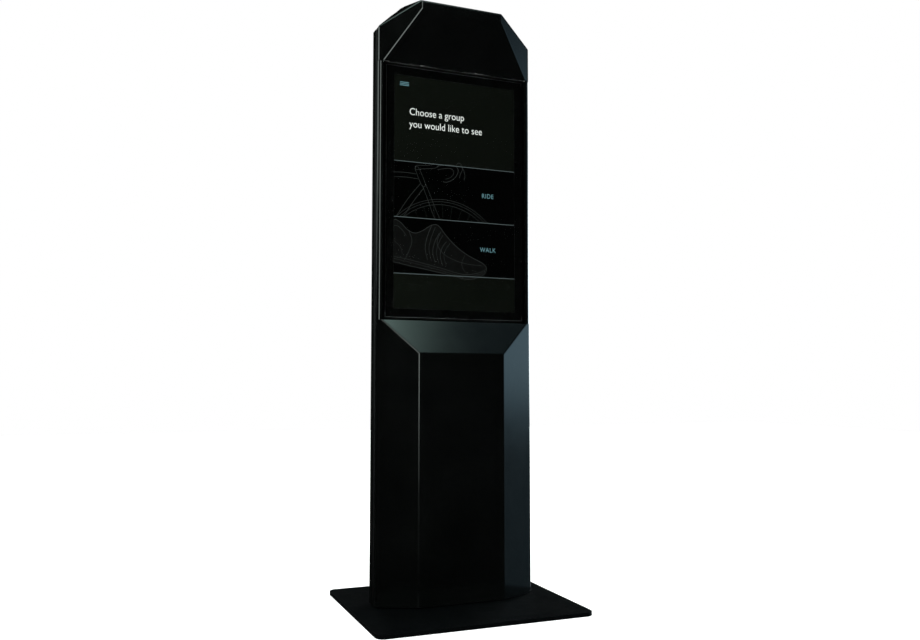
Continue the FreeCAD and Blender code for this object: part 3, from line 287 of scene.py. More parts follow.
def slot_materials():
    """The finished material of each slot in the record."""
    return {
        # the casing's paler edges are some wear and a painted edge highlight on the gloss black
        "casing_black": coated("casing_gloss_black", tone(0.0004, 0.0005, 0.0005),
                               tone(0.0010, 0.0011, 0.0011), (0.11, 0.17), 420.0, 0.035,
                               edge_rub_and_highlight=grey(0.03), edge_rub_and_highlight_share=0.25),
        "band_black": brushed("band_anodised_black", grey(0.010), grey(0.018), (0.3, 0.42), "z",
                              edge_rub_and_highlight=grey(0.06)),
        # the base's paler edges are some wear and a painted edge highlight
        "base_black": coated("base_powder_black", tone(0.0004, 0.0005, 0.0007),
                             tone(0.0009, 0.0011, 0.0013), (0.5, 0.66), 1700.0, 0.35,
                             edge_rub_and_highlight=grey(0.008), edge_rub_and_highlight_share=0.4, Specular_IOR_Level=0.1,
                             Specular_Tint=grey(0.3)),
        "cover_glass": clear_glass(),
        "display_black": coated("display_case", grey(0.006), grey(0.010), (0.45, 0.6), 1500.0, 0.2),
        "frame_steel": plated("zinc_plate", tone(0.42, 0.43, 0.45), tone(0.60, 0.61, 0.63),
                              (0.28, 0.48)),
        "hardware": coated("blackened_steel", grey(0.10), grey(0.16), (0.3, 0.5), 800.0, 0.15,
                           edge_rub_and_highlight=grey(0.4), edge_rub_and_highlight_share=0.5, Metallic=1.0),
        "lock_chrome": brushed("lock_plate", tone(0.68, 0.69, 0.71), tone(0.78, 0.79, 0.81),
                               (0.10, 0.22), "z", 0.05),
        "rubber_black": coated("rubber", grey(0.010), grey(0.018), (0.7, 0.9), 1300.0, 0.4),
        "foam_black": coated("foam", grey(0.012), grey(0.028), (0.9, 1.0), 2200.0, 0.8),
        "board_green": circuit(),
        "device_grey": brushed("player_housing", tone(0.12, 0.124, 0.128),
                               tone(0.18, 0.184, 0.19), (0.34, 0.46), "x", edge_rub_and_highlight=grey(0.4)),
        "supply_silver": brushed("supply_housing", tone(0.46, 0.465, 0.47),
                                 tone(0.56, 0.565, 0.57), (0.28, 0.42), "x", edge_rub_and_highlight=grey(0.75)),
        "plastic_black": coated("moulded_plastic", grey(0.010), grey(0.016), (0.38, 0.55), 1500.0,
                                0.25, edge_rub_and_highlight=grey(0.04)),
        "rocker_black": coated("rocker_plastic", grey(0.008), grey(0.012), (0.14, 0.22), 700.0,
                               0.04, edge_rub_and_highlight=grey(0.05)),
        "button_grey": coated("button_plastic", grey(0.30), grey(0.38), (0.28, 0.4), 1200.0, 0.1,
                              edge_rub_and_highlight=grey(0.5)),
        "lead_black": coated("lead_sheath", grey(0.010), grey(0.018), (0.42, 0.6), 1100.0, 0.2),
    }


# ---- meshes ------------------------------------------------------------------------------
def piece(name, form, body, material, smooth=False):
    """Turns a form into a piece that rides on a body."""
    bmesh.ops.recalc_face_normals(form, faces=form.faces)
    data = bpy.data.meshes.new(name)
    form.to_mesh(data)
    form.free()
    data.materials.append(material)
    if smooth:
        data.shade_smooth()
        data.set_sharp_from_angle(angle=math.radians(40))
    made = bpy.data.objects.new(name, data)
    scene.collection.objects.link(made)
    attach(made, body)
    return made


def bar(form, low, high, edge=0.0):
    """Block between two corners, in mm, with its edges rounded."""
    low = Vector(low) * MM
    high = Vector(high) * MM
    size = high - low
    place = Matrix.Translation((low + high) / 2) @ Matrix.Diagonal((*size, 1.0))
    corners = bmesh.ops.create_cube(form, size=1.0, matrix=place)["verts"]
    if edge:
        edges = list({e for v in corners for e in v.link_edges})
        bmesh.ops.bevel(form, geom=edges, offset=edge * MM, segments=2, profile=0.6,
                        affect="EDGES", clamp_overlap=True)


def basis(axis):
    """Turn that takes +Z to an axis."""
    return Vector((0, 0, 1)).rotation_difference(Vector(axis)).to_matrix().to_4x4()


def turned(form, profile, centre, axis, steps=24):
    """Lathe form.  Profile points are (radius, height, sides) in mm; 0 sides is round."""
    place = Matrix.Translation(Vector(centre) * MM) @ basis(axis)
    rings = []
    for radius, height, sides in profile:
        ring = []
        for step in range(steps):
            angle = 2 * math.pi * step / steps
            reach = radius
            if sides:
                half = math.pi / sides
                reach = radius * math.cos(half) / math.cos(angle % (2 * half) - half)
            spot = Vector((reach * math.cos(angle), reach * math.sin(angle), height)) * MM
            ring.append(form.verts.new(place @ spot))
        rings.append(ring)
    for lower, upper in zip(rings, rings[1:]):
        for step in range(steps):
            after = (step + 1) % steps
            form.faces.new((lower[step], lower[after], upper[after], upper[step]))
    form.faces.new(rings[0])
    form.faces.new(rings[-1])


def countersunk(form, centre, axis, head, depth, shank, length):
    """Flush socket-head screw; the centre is the middle of its visible face."""
    socket = head * 0.42
    turned(form, [(shank, -length, 0), (shank, -depth, 0), (head * 0.97, -0.2, 0),
                  (head * 0.92, 0.0, 0), (socket * 1.12, 0.0, 0), (socket, -0.12, 6),
                  (socket, -depth * 0.8, 6)], centre, axis)


def pan_head(form, centre, axis, head, rise):
    """Low domed socket-head screw that stands on a surface."""
    socket = head * 0.45
    turned(form, [(head, 0.0, 0), (head, rise * 0.35, 0), (head * 0.86, rise * 0.8, 0),
                  (head * 0.62, rise, 0), (socket * 1.1, rise, 0), (socket, rise - 0.1, 6),
                  (socket, rise * 0.3, 6)], centre, axis)


def solids_of(node):
    """Boxes, in mm, of the separate solids in a CAD node."""
    form = bmesh.new()
    form.from_mesh(nodes[node].data)
    bmesh.ops.remove_doubles(form, verts=form.verts, dist=1e-6)
    left = set(form.verts)
    boxes = []
    while left:
        queue = [left.pop()]
        group = []
        while queue:
            spot = queue.pop()
            group.append(spot.co / MM)
            for edge in spot.link_edges:
                other = edge.other_vert(spot)
                if other in left:
                    left.remove(other)
                    queue.append(other)
        low = Vector([min(c[i] for c in group) for i in range(3)])
        high = Vector([max(c[i] for c in group) for i in range(3)])
        boxes.append((low, high))
    form.free()
    return sorted(boxes, key=lambda box: (round(box[0].z), round(box[0].x)))


def section_of(node, height):
    """Middle and radius, in mm, of an upright lead at a height."""
    form = bmesh.new()
    form.from_mesh(nodes[node].data)
    cut = bmesh.ops.bisect_plane(form, geom=form.verts[:] + form.edges[:] + form.faces[:],
                                 plane_co=(0, 0, height * MM), plane_no=(0, 0, 1))
    spots = [g.co / MM for g in cut["geom_cut"] if isinstance(g, bmesh.types.BMVert)]
    middle = sum(spots, Vector()) / len(spots)
    radius = max((spot - middle).length for spot in spots)
    form.free()
    return middle, radius


def box_mm(node):
    """Low and high corner of a CAD node, in mm."""
    low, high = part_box(node)
    return low / MM, high / MM


# ---- the lit picture ----------------------------------------------------------------------
PICTURE_WIDTH = 392.9            # mm, a 32-inch 9:16 picture
PICTURE_HEIGHT = 698.4
LINE_SHARES = (0.628, 0.388, 0.148)     # level lines, from the picture's bottom
HEADING_SHARE = 0.8315           # the heading's first baseline, likewise
TAPE_WIDTH = 8.6                 # glass tape, which the printed border stays inside
BORDER_GAP = 0.6                 # printed border to the lit picture
# each layer of the picture stands this far in front of the display's face
ZONE_LIFT, SHADE_LIFT, DRAWING_LIFT, WORD_LIFT, RULE_LIFT = 0.05, 0.08, 0.12, 0.14, 0.16
HUB = (-42, -143)                # the drawn wheel's hub, from the middle level line


def smooth_path(points, steps=8, closed=False):
    """Points along a Catmull-Rom curve through the given ones."""
    count = len(points)
    spots = []
    last = count if closed else count - 1
    for number in range(last):
        if closed:
            p0, p1, p2, p3 = (points[(number + k) % count] for k in (-1, 0, 1, 2))
        else:
            p0, p1, p2, p3 = (points[min(max(number + k, 0), count - 1)] for k in (-1, 0, 1, 2))
        for step in range(steps):
            t = step / steps
            spots.append(tuple(
                0.5 * (2 * b + (c - a) * t + (2 * a - 5 * b + 4 * c - d) * t * t
                       + (3 * b - a - 3 * c + d) * t ** 3)
                for a, b, c, d in zip(p0, p1, p2, p3)))
    if not closed:
        spots.append(tuple(points[-1]))
    return spots


def ribbon(form, points, width, depth, closed=False):
    """Flat line in the picture's plane along (x, z) points, in mm."""
    count = len(points)
    pairs = []
    for number, (x, z) in enumerate(points):
        if closed:
            before, after = points[number - 1], points[(number + 1) % count]
        else:
            before, after = points[max(number - 1, 0)], points[min(number + 1, count - 1)]
        run = Vector((after[0] - before[0], after[1] - before[1]))
        run = run.normalized() if run.length else Vector((1, 0))
        off = Vector((-run.y, run.x)) * width / 2
        pairs.append([form.verts.new(Vector((x + s * off.x, depth, z + s * off.y)) * MM)
                      for s in (1, -1)])
    ends = pairs[1:] + pairs[:1] if closed else pairs[1:]
    for (a, b), (c, d) in zip(pairs, ends):
        form.faces.new((a, b, d, c))


def clipped(form, x0, x1, z0, z1):
    """Cuts off what lies outside a rectangle of the picture's plane."""
    for spot, normal in (((x0, 0, 0), (-1, 0, 0)), ((x1, 0, 0), (1, 0, 0)),
                         ((0, 0, z0), (0, 0, -1)), ((0, 0, z1), (0, 0, 1))):
        bmesh.ops.bisect_plane(form, geom=form.verts[:] + form.edges[:] + form.faces[:],
                               plane_co=Vector(spot) * MM, plane_no=normal, clear_outer=True)


def filled(form, points, depth):
    """Flat area inside a closed outline."""
    verts = [form.verts.new(Vector((x, depth, z)) * MM) for x, z in points]
    face = form.faces.new(verts)
    bmesh.ops.triangulate(form, faces=[face])


def panel_grid(form, x0, x1, z0, z1, depth, nx, nz):
    """Flat area divided into a grid."""
    rows = []
    for j in range(nz + 1):
        z = z0 + (z1 - z0) * j / nz
        rows.append([form.verts.new(Vector((x0 + (x1 - x0) * i / nx, depth, z)) * MM)
                     for i in range(nx + 1)])
    for lower, upper in zip(rows, rows[1:]):
        for i in range(nx):
            form.faces.new((lower[i], lower[i + 1], upper[i + 1], upper[i]))


def words(name, text, size, left, baseline, depth, material, width=1.0, spacing=1.0):
    """Flat lettering in Blender's own plain font, as a mesh."""
    curve = bpy.data.curves.new(name, "FONT")
    curve.body = text
    curve.size = size * MM
    curve.space_line = 1.2
    curve.offset = -0.006 * size * MM
    curve.space_character = spacing
    curve.resolution_u = 6
    holder = bpy.data.objects.new(name + "_curve", curve)
    scene.collection.objects.link(holder)
    bpy.context.view_layer.update()
    data = bpy.data.meshes.new_from_object(holder.evaluated_get(
        bpy.context.evaluated_depsgraph_get()))
    bpy.data.objects.remove(holder)
    place = Matrix.Translation(Vector((left, depth, baseline)) * MM)
    place = place @ Matrix.Rotation(math.pi / 2, 4, "X") @ Matrix.Diagonal((width, 1, 1, 1))
    data.transform(place)
    data.materials.clear()
    data.materials.append(material)
    made = bpy.data.objects.new(name, data)
    scene.collection.objects.link(made)
    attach(made, "body")


def arc(x, z, radius, start, end, steps=40):
    """Points (x, z) along an arc, its angles in degrees from +X."""
    spots = []
    for step in range(steps + 1):
        angle = math.radians(start + (end - start) * step / steps)
        spots.append((x + radius * math.cos(angle), z + radius * math.sin(angle)))
    return spots


def cycle_lines(form, level, depth):
    """Plain drawing of a bicycle's front: bar, stem, fork, frame and wheel."""
    def line(points, width=1.0, closed=False):
        raised = [(x, level + z) for x, z in points]
        ribbon(form, smooth_path(raised, closed=closed), width, depth, closed)
    hub = (HUB[0], level + HUB[1])
    for radius in (205, 198, 189):
        ribbon(form, arc(*hub, radius, 20, 160), 0.9, depth)
    for number in range(9):
        angle = 52 + number * 9.5
        ribbon(form, arc(*hub, 189, angle, angle, 1)[:1] + [hub], 0.35, depth)
    line([(-128, 146), (-106, 150), (-80, 153), (-62, 158), (-56, 166), (-66, 168), (-96, 161),
          (-126, 158)], closed=True)
    line([(-62, 162), (-36, 168), (-14, 170), (2, 166), (8, 154), (2, 138), (-12, 124),
          (-30, 116), (-42, 117)], 1.4)
    line([(-60, 152), (-36, 157), (-16, 159), (-7, 152), (-9, 140), (-20, 130), (-34, 125)])
    line([(0, 168), (8, 178), (18, 174), (22, 160), (16, 146), (12, 132)], 1.2)
    line([(14, 172), (26, 158), (30, 142), (27, 126)])
    line([(-132, 150), (-120, 152), (-98, 104), (-110, 100), (-132, 150)])
    line([(-108, 100), (-92, 62), (-76, 20), (-62, -8)])
    line([(-97, 104), (-80, 66), (-62, 24), (-46, -8)])
    line([(-200, 132), (-160, 134), (-128, 132)])
    line([(-200, 118), (-158, 120), (-122, 118)])
    line([(-114, 104), (-150, 60), (-186, 6), (-196, -8)], 1.2)
    line([(-103, 92), (-138, 46), (-172, -8)], 1.2)


def shoe_outline():
    """Outline (x, z) of a shoe, from the lowest level line, in mm."""
    return [(-205, 152), (-190, 158), (-172, 148), (-156, 132), (-132, 122), (-108, 130),
            (-84, 146), (-66, 152), (-52, 146), (-34, 124), (-8, 98), (18, 78), (46, 62),
            (74, 50), (96, 38), (102, 24), (92, 8), (66, -4), (34, -8), (0, -2), (-40, 6),
            (-90, 14), (-150, 24), (-205, 34)]


def shoe_lines(form, level, depth):
    """Plain drawing of a low sports shoe, its toe to the right."""
    def line(points, width=1.0):
        ribbon(form, smooth_path([(x, level + z) for x, z in points]), width, depth)
    line(shoe_outline(), 1.3)
    line([(-205, 50), (-150, 42), (-90, 30), (-40, 20), (0, 10), (40, 6), (78, 14), (100, 26)])
    line([(-205, 44), (-150, 35), (-90, 23), (-40, 13), (0, 4), (40, 0), (74, 6), (96, 18)], 0.7)
    line([(-150, 128), (-140, 100), (-148, 70), (-160, 44)])
    line([(-205, 138), (-186, 140), (-170, 128), (-158, 112)], 0.8)
    for shift in (0, 24, 48):
        line([(-78 + shift, 148 - shift * 0.95), (-92 + shift, 112 - shift * 0.6),
              (-98 + shift, 78 - shift * 0.4), (-90 + shift, 44 - shift * 0.3)], 1.1)
        line([(-66 + shift, 144 - shift * 0.95), (-80 + shift, 108 - shift * 0.6),
              (-86 + shift, 76 - shift * 0.4), (-78 + shift, 42 - shift * 0.3)], 0.8)
    line([(-48, 132), (-60, 96), (-40, 66), (-4, 48), (40, 38), (84, 36)], 0.9)
    line([(30, 64), (20, 40), (26, 20), (40, 8)], 0.8)
    line([(-196, 96), (-176, 78), (-170, 58)], 0.8)


def picture():
    """Black border, zones, level lines, plain drawings and generic wording."""
    low, high = box_mm("display_panel")
    middle = (low.z + high.z) / 2
    half = PICTURE_WIDTH / 2
    z0 = middle - PICTURE_HEIGHT / 2
    z1 = middle + PICTURE_HEIGHT / 2
    face = low.y
    glass_back = box_mm("cover_glass")[1].y
    tape_low, tape_high = box_mm("glass_tape")

    border = bmesh.new()
    inner_x = half + BORDER_GAP
    outer_x = tape_high.x - TAPE_WIDTH
    y0, y1 = glass_back + 0.05, glass_back + 0.2
    low_z, high_z = tape_low.z + TAPE_WIDTH, tape_high.z - TAPE_WIDTH
    bar(border, (-outer_x, y0, low_z), (-inner_x, y1, high_z))
    bar(border, (inner_x, y0, low_z), (outer_x, y1, high_z))
    bar(border, (-inner_x, y0, low_z), (inner_x, y1, z0 - BORDER_GAP))
    bar(border, (-inner_x, y0, z1 + BORDER_GAP), (inner_x, y1, high_z))
    print_black = coated("border_print", grey(0.0005), grey(0.0010), (0.25, 0.35), 900.0, 0.02,
                         Specular_IOR_Level=0.05)
    piece("glass_border", border, "body", print_black)

    zone = lit("picture_grey", tone(0.0036, 0.0047, 0.0032), 1.0, 0.3, base=0.001)
    dark = lit("picture_black", tone(0.0001, 0.0001, 0.0001), 1.0, base=0.0004)
    rule = lit("picture_rule", tone(0.100, 0.128, 0.130), 1.0, 0.1)
    drawn = lit("picture_drawing", tone(0.034, 0.038, 0.036), 1.0, 0.1)
    faint = lit("picture_shade", tone(0.0030, 0.0033, 0.0030), 1.0, 0.2)
    title = lit("picture_title", tone(1.06, 1.11, 1.06), 1.0)
    label = lit("picture_label", tone(0.16, 0.34, 0.38), 1.0)

    levels = [z0 + share * PICTURE_HEIGHT for share in LINE_SHARES]
    for name, bottom, top, material in (("picture_top", levels[0], z1, zone),
                                        ("picture_band_one", levels[1], levels[0], dark),
                                        ("picture_band_two", levels[2], levels[1], dark),
                                        ("picture_foot", z0, levels[2], zone)):
        form = bmesh.new()
        panel_grid(form, -half, half, bottom, top, face - ZONE_LIFT, 12, 6)
        piece(name, form, "body", material)

    form = bmesh.new()
    for level in levels:
        panel_grid(form, -half, half, level - 0.9, level + 0.9, face - RULE_LIFT, 12, 1)
    piece("picture_rules", form, "body", rule)

    form = bmesh.new()
    outline = smooth_path([(x, levels[2] + z) for x, z in shoe_outline()])
    filled(form, outline + [(-205, levels[2] + 34)], face - SHADE_LIFT)
    clipped(form, -half, half, z0, z1)
    piece("picture_shoe_shade", form, "body", faint)

    form = bmesh.new()
    shoe_lines(form, levels[2], face - DRAWING_LIFT)
    clipped(form, -half, half, z0, z1)
    piece("picture_shoe", form, "body", drawn)

    form = bmesh.new()
    cycle_lines(form, levels[1], face - DRAWING_LIFT)
    clipped(form, -half, half, levels[1], z1)
    piece("picture_cycle", form, "body", drawn)

    form = bmesh.new()
    for number in range(3):
        z = z1 - 22 - number * 4.5
        bar(form, (-half + 17, face - WORD_LIFT, z), (-half + 45, face - 0.1, z + 2.0), 0.02)
    piece("picture_menu_mark", form, "body", label)

    words("picture_heading", "Choose a group\nyou would like to see", 31, -150,
          z0 + HEADING_SHARE * PICTURE_HEIGHT, face - WORD_LIFT, title, width=0.88)
    words("picture_label_one", "RIDE", 20, 86, levels[1] + 77, face - WORD_LIFT, label,
          width=0.86, spacing=1.15)
    words("picture_label_two", "WALK", 20, 80, levels[2] + 78, face - WORD_LIFT, label,
          width=0.86, spacing=1.15)


# ---- small details ------------------------------------------------------------------------
FAN_SCREWS = 35.75               # mm, a fan's axis to its screws, across and up
REARWARD = (0, 1, 0)


def rear_fixings(slots):
    """Screws of the rear covers, hinges and sockets."""
    form = bmesh.new()
    for low, high in solids_of("panel_screws"):
        centre = ((low.x + high.x) / 2, high.y, (low.z + high.z) / 2)
        countersunk(form, centre, REARWARD, (high.x - low.x) / 2, 2.0, 2.0, high.y - low.y)
    screws = piece("panel_screw_set", form, "body", slots["hardware"], True)
    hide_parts("panel_screws")

    for node, body in (("hinge_frame_leaves", "body"), ("hinge_door_leaves", "door")):
        form = bmesh.new()
        for low, high in solids_of(node):
            outer = low.x + 6 if node == "hinge_frame_leaves" else high.x - 6
            middle = (low.z + high.z) / 2
            for dz in (-20, 0, 20):
                pan_head(form, (outer, low.y + 2.0, middle + dz), REARWARD, 3.0, 1.3)
        piece(node + "_screws", form, body, slots["hardware"], True)

    form = bmesh.new()
    for node in ("fan_frame_left", "fan_frame_right"):
        low, high = box_mm(node)
        face = box_mm("upper_rear_panel")[1].y
        x, z = (low.x + high.x) / 2, (low.z + high.z) / 2
        for dx in (-FAN_SCREWS, FAN_SCREWS):
            for dz in (-FAN_SCREWS, FAN_SCREWS):
                pan_head(form, (x + dx, face, z + dz), REARWARD, 3.2, 1.4)
    low, high = box_mm("inlet_module")
    for x in (low.x + 5, high.x - 5):
        pan_head(form, (x, high.y, (low.z + high.z) / 2), REARWARD, 2.6, 1.2)
    low, high = box_mm("network_coupler")
    for z in (low.z + 3.2, high.z - 3.2):
        pan_head(form, ((low.x + high.x) / 2, high.y, z), REARWARD, 1.7, 0.9)
    piece("rear_fixings", form, "body", slots["hardware"], True)


def socket_details(brass, white):
    """Spring contacts in the network socket, and the rocker's on and off marks."""
    low, high = box_mm("network_coupler")
    x, z = (low.x + high.x) / 2, (low.z + high.z) / 2
    form = bmesh.new()
    for number in range(8):
        left = x - 4.0 + number * 1.02
        bar(form, (left, high.y - 12.5, z + 2.6), (left + 0.45, high.y - 4.5, z + 3.1), 0.08)
        bar(form, (left, high.y - 12.9, z + 2.6), (left + 0.45, high.y - 12.3, z + 4.4), 0.08)
    piece("network_contacts", form, "body", brass)

    rocker = nodes["power_rocker"].data
    planes = {}
    for face in rocker.polygons:
        if face.normal.y > 0.9:
            key = tuple(round(n, 2) for n in face.normal)
            planes.setdefault(key, []).append(face)
    largest = sorted(planes.values(), key=lambda fs: -sum(f.area for f in fs))[:2]
    largest.sort(key=lambda fs: -fs[0].center.z)
    form = bmesh.new()
    for stroke, faces in enumerate(largest):
        area = sum(f.area for f in faces)
        centre = sum((f.center * f.area for f in faces), Vector()) / area / MM
        normal = faces[0].normal
        turn = basis(normal)
        spin = turn.to_3x3().inverted() @ Vector((0, 0, 1))
        angle = math.atan2(spin.y, spin.x)
        place = Matrix.Translation(centre * MM) @ turn @ Matrix.Rotation(angle, 4, "Z")
        mark = bmesh.new()
        if stroke:
            bar(mark, (-2.2, -0.4, 0.0), (2.2, 0.4, 0.08), 0.03)
        else:
            for step in range(20):
                a0, a1 = (2 * math.pi * (step + k) / 20 for k in (0, 1))
                quad = [(2.3 * math.cos(a0), 2.3 * math.sin(a0)),
                        (2.3 * math.cos(a1), 2.3 * math.sin(a1)),
                        (1.6 * math.cos(a1), 1.6 * math.sin(a1)),
                        (1.6 * math.cos(a0), 1.6 * math.sin(a0))]
                mark.faces.new([mark.verts.new(Vector((a, b, 0.08)) * MM) for a, b in quad])
            bmesh.ops.remove_doubles(mark, verts=mark.verts, dist=1e-7)
        bmesh.ops.transform(mark, matrix=place, verts=mark.verts)
        data = bpy.data.meshes.new("mark")
        mark.to_mesh(data)
        mark.free()
        form.from_mesh(data)
        bpy.data.meshes.remove(data)
    piece("rocker_marks", form, "rocker", white)


def player_details(slots, green):
    """Cooling ribs, ports, feet and a status lamp on the media player."""
    low, high = box_mm("media_player")
    form = bmesh.new()
    ribs = 15
    for number in range(ribs):
        x = low.x + 12 + (high.x - low.x - 24) * number / (ribs - 1)
        bar(form, (x - 1.4, high.y - 0.2, low.z + 46), (x + 1.4, high.y + 3.2, high.z - 8), 0.5)
    bar(form, (low.x + 4, high.y - 0.2, low.z + 40), (high.x - 4, high.y + 0.9, low.z + 42), 0.3)
    piece("player_ribs", form, "body", slots["device_grey"])

    form = bmesh.new()
    for number in range(4):
        x = low.x + 16 + number * 22
        bar(form, (x, high.y - 0.1, low.z + 14), (x + 14, high.y + 0.5, low.z + 21), 0.3)
        bar(form, (x + 2, high.y + 0.4, low.z + 16.4), (x + 12, high.y + 0.8, low.z + 18.6), 0.2)
    for x in (low.x, high.x):
        for z in (low.z + 10, high.z - 10):
            side = -1 if x < 0 else 1
            ear = sorted((x, x + side * 12))
            bar(form, (ear[0], low.y, z - 7), (ear[1], low.y + 2.4, z + 7), 0.6)
            pan_head(form, (x + side * 6.5, low.y + 2.4, z), REARWARD, 3.4, 2.0)
    piece("player_ports", form, "body", slots["plastic_black"], True)

    lamp = bmesh.new()
    button_low, button_high = box_mm("power_button")
    z = (button_low.z + button_high.z) / 2
    turned(lamp, [(1.6, 0.0, 0), (1.6, 0.3, 0), (1.2, 0.7, 0), (0.5, 0.9, 0)],
           (button_low.x - 14, high.y, z), REARWARD, 16)
    piece("player_lamp", lamp, "body", green, True)


def supply_details(slots):
    """Louvres, terminal cover, ears and screws on the power supply."""
    low, high = box_mm("power_supply")
    form = bmesh.new()
    for row in range(5):
        z = low.z + 14 + row * 10.5
        for column in range(3):
            x = low.x + 16 + column * 44
            bar(form, (x, high.y - 0.1, z), (x + 34, high.y + 1.0, z + 2.4), 0.45)
    for x in (low.x, high.x):
        side = -1 if x < 0 else 1
        ear = sorted((x, x + side * 13))
        bar(form, (ear[0], low.y, low.z + 6), (ear[1], low.y + 1.8, high.z - 42), 0.5)
        pan_head(form, (x + side * 7, low.y + 1.8, low.z + 17), REARWARD, 3.4, 2.0)
    piece("supply_louvres", form, "body", slots["supply_silver"], True)

    form = bmesh.new()
    bar(form, (high.x - 46, high.y - 0.1, low.z + 5), (high.x - 5, high.y + 4.0, high.z - 5), 1.0)
    for row in range(6):
        z = low.z + 12 + row * 8.6
        bar(form, (high.x - 41, high.y + 3.9, z), (high.x - 10, high.y + 4.7, z + 2.2), 0.3)
    piece("supply_terminal_cover", form, "body", slots["plastic_black"])


def lead_details(slots):
    """Boots where the leads enter their units, and ties along their upright runs."""
    form = bmesh.new()

    def boot(centre, axis, radius):
        turned(form, [(radius + 3.2, 0.0, 0), (radius + 3.4, 2.0, 0), (radius + 3.0, 7.0, 0),
                      (radius + 1.6, 9.0, 0), (radius + 2.0, 11.0, 0), (radius + 1.1, 13.5, 0),
                      (radius + 1.5, 15.5, 0), (radius + 0.5, 19.0, 0), (radius - 0.3, 19.4, 0)],
               centre, axis)

    # lead, unit, axis of the face that it enters, and that face's side
    entries = (("network_lead", "media_player", 0, -1), ("player_lead", "media_player", 0, 1),
               ("player_lead", "power_supply", 0, 1), ("display_loom", "media_player", 2, 1),
               ("mains_lead", "power_supply", 2, -1))
    for node, unit, index, sign in entries:
        corners = box_mm(unit)
        plane = corners[1][index] if sign > 0 else corners[0][index]
        spots = [v.co / MM for v in nodes[node].data.vertices
                 if abs(v.co[index] / MM - plane) < 0.05
                 and all(a - 1 < c < b + 1 for a, b, c in zip(*corners, v.co / MM))]
        middle = sum(spots, Vector()) / len(spots)
        radius = max((spot - middle).length for spot in spots)
        axis = Vector((0, 0, 0))
        axis[index] = sign
        boot(middle, axis, radius)
    piece("lead_boots", form, "body", slots["lead_black"], True)

    form = bmesh.new()
    for node, heights in (("network_lead", (240, 330, 420, 510)),
                          ("player_lead", (280, 360, 440, 520)),
                          ("display_loom", (760, 860, 960))):
        for height in heights:
            middle, radius = section_of(node, height)
            inner, outer = radius + 0.1, radius + 1.3
            turned(form, [(inner, -1.9, 0), (outer, -1.9, 0), (outer + 0.1, 0.0, 0),
                          (outer, 1.9, 0), (inner, 1.9, 0)], middle, (0, 0, 1))
            x, y, z = middle
            side = 1 if x < 0 else -1
            head = sorted((x + side * (outer - 0.4), x + side * (outer + 3.4)))
            bar(form, (head[0], y - 2.4, z - 2.3), (head[1], y + 2.4, z + 2.3), 0.5)
    piece("lead_ties", form, "body", slots["plastic_black"], True)


# ---- surroundings --------------------------------------------------------------------------
def pale_floor():
    """Wide white floor that the reflections don't show."""
    form = bmesh.new()
    panel_grid(form, -9000, 9000, -9000, 9000, 0, 6, 6)
    bmesh.ops.rotate(form, verts=form.verts, cent=(0, 0, 0),
                     matrix=Matrix.Rotation(math.pi / 2, 3, "X"))
    bmesh.ops.recalc_face_normals(form, faces=form.faces)
    data = bpy.data.meshes.new("studio_floor")
    form.to_mesh(data)
    form.free()
    made = Finish("studio_floor", Roughness=0.9, Emission_Strength=0.5)
    made.surface.inputs["Specular IOR Level"].default_value = 0.0
    made.surface.inputs["Emission Color"].default_value = grey(1.0)
    made.paint(made.blend(made.noise(3.0), grey(0.88), grey(0.92)))
    data.materials.append(made.material)
    floor = bpy.data.objects.new("studio_floor", data)
    floor.visible_glossy = False
    scene.collection.objects.link(floor)


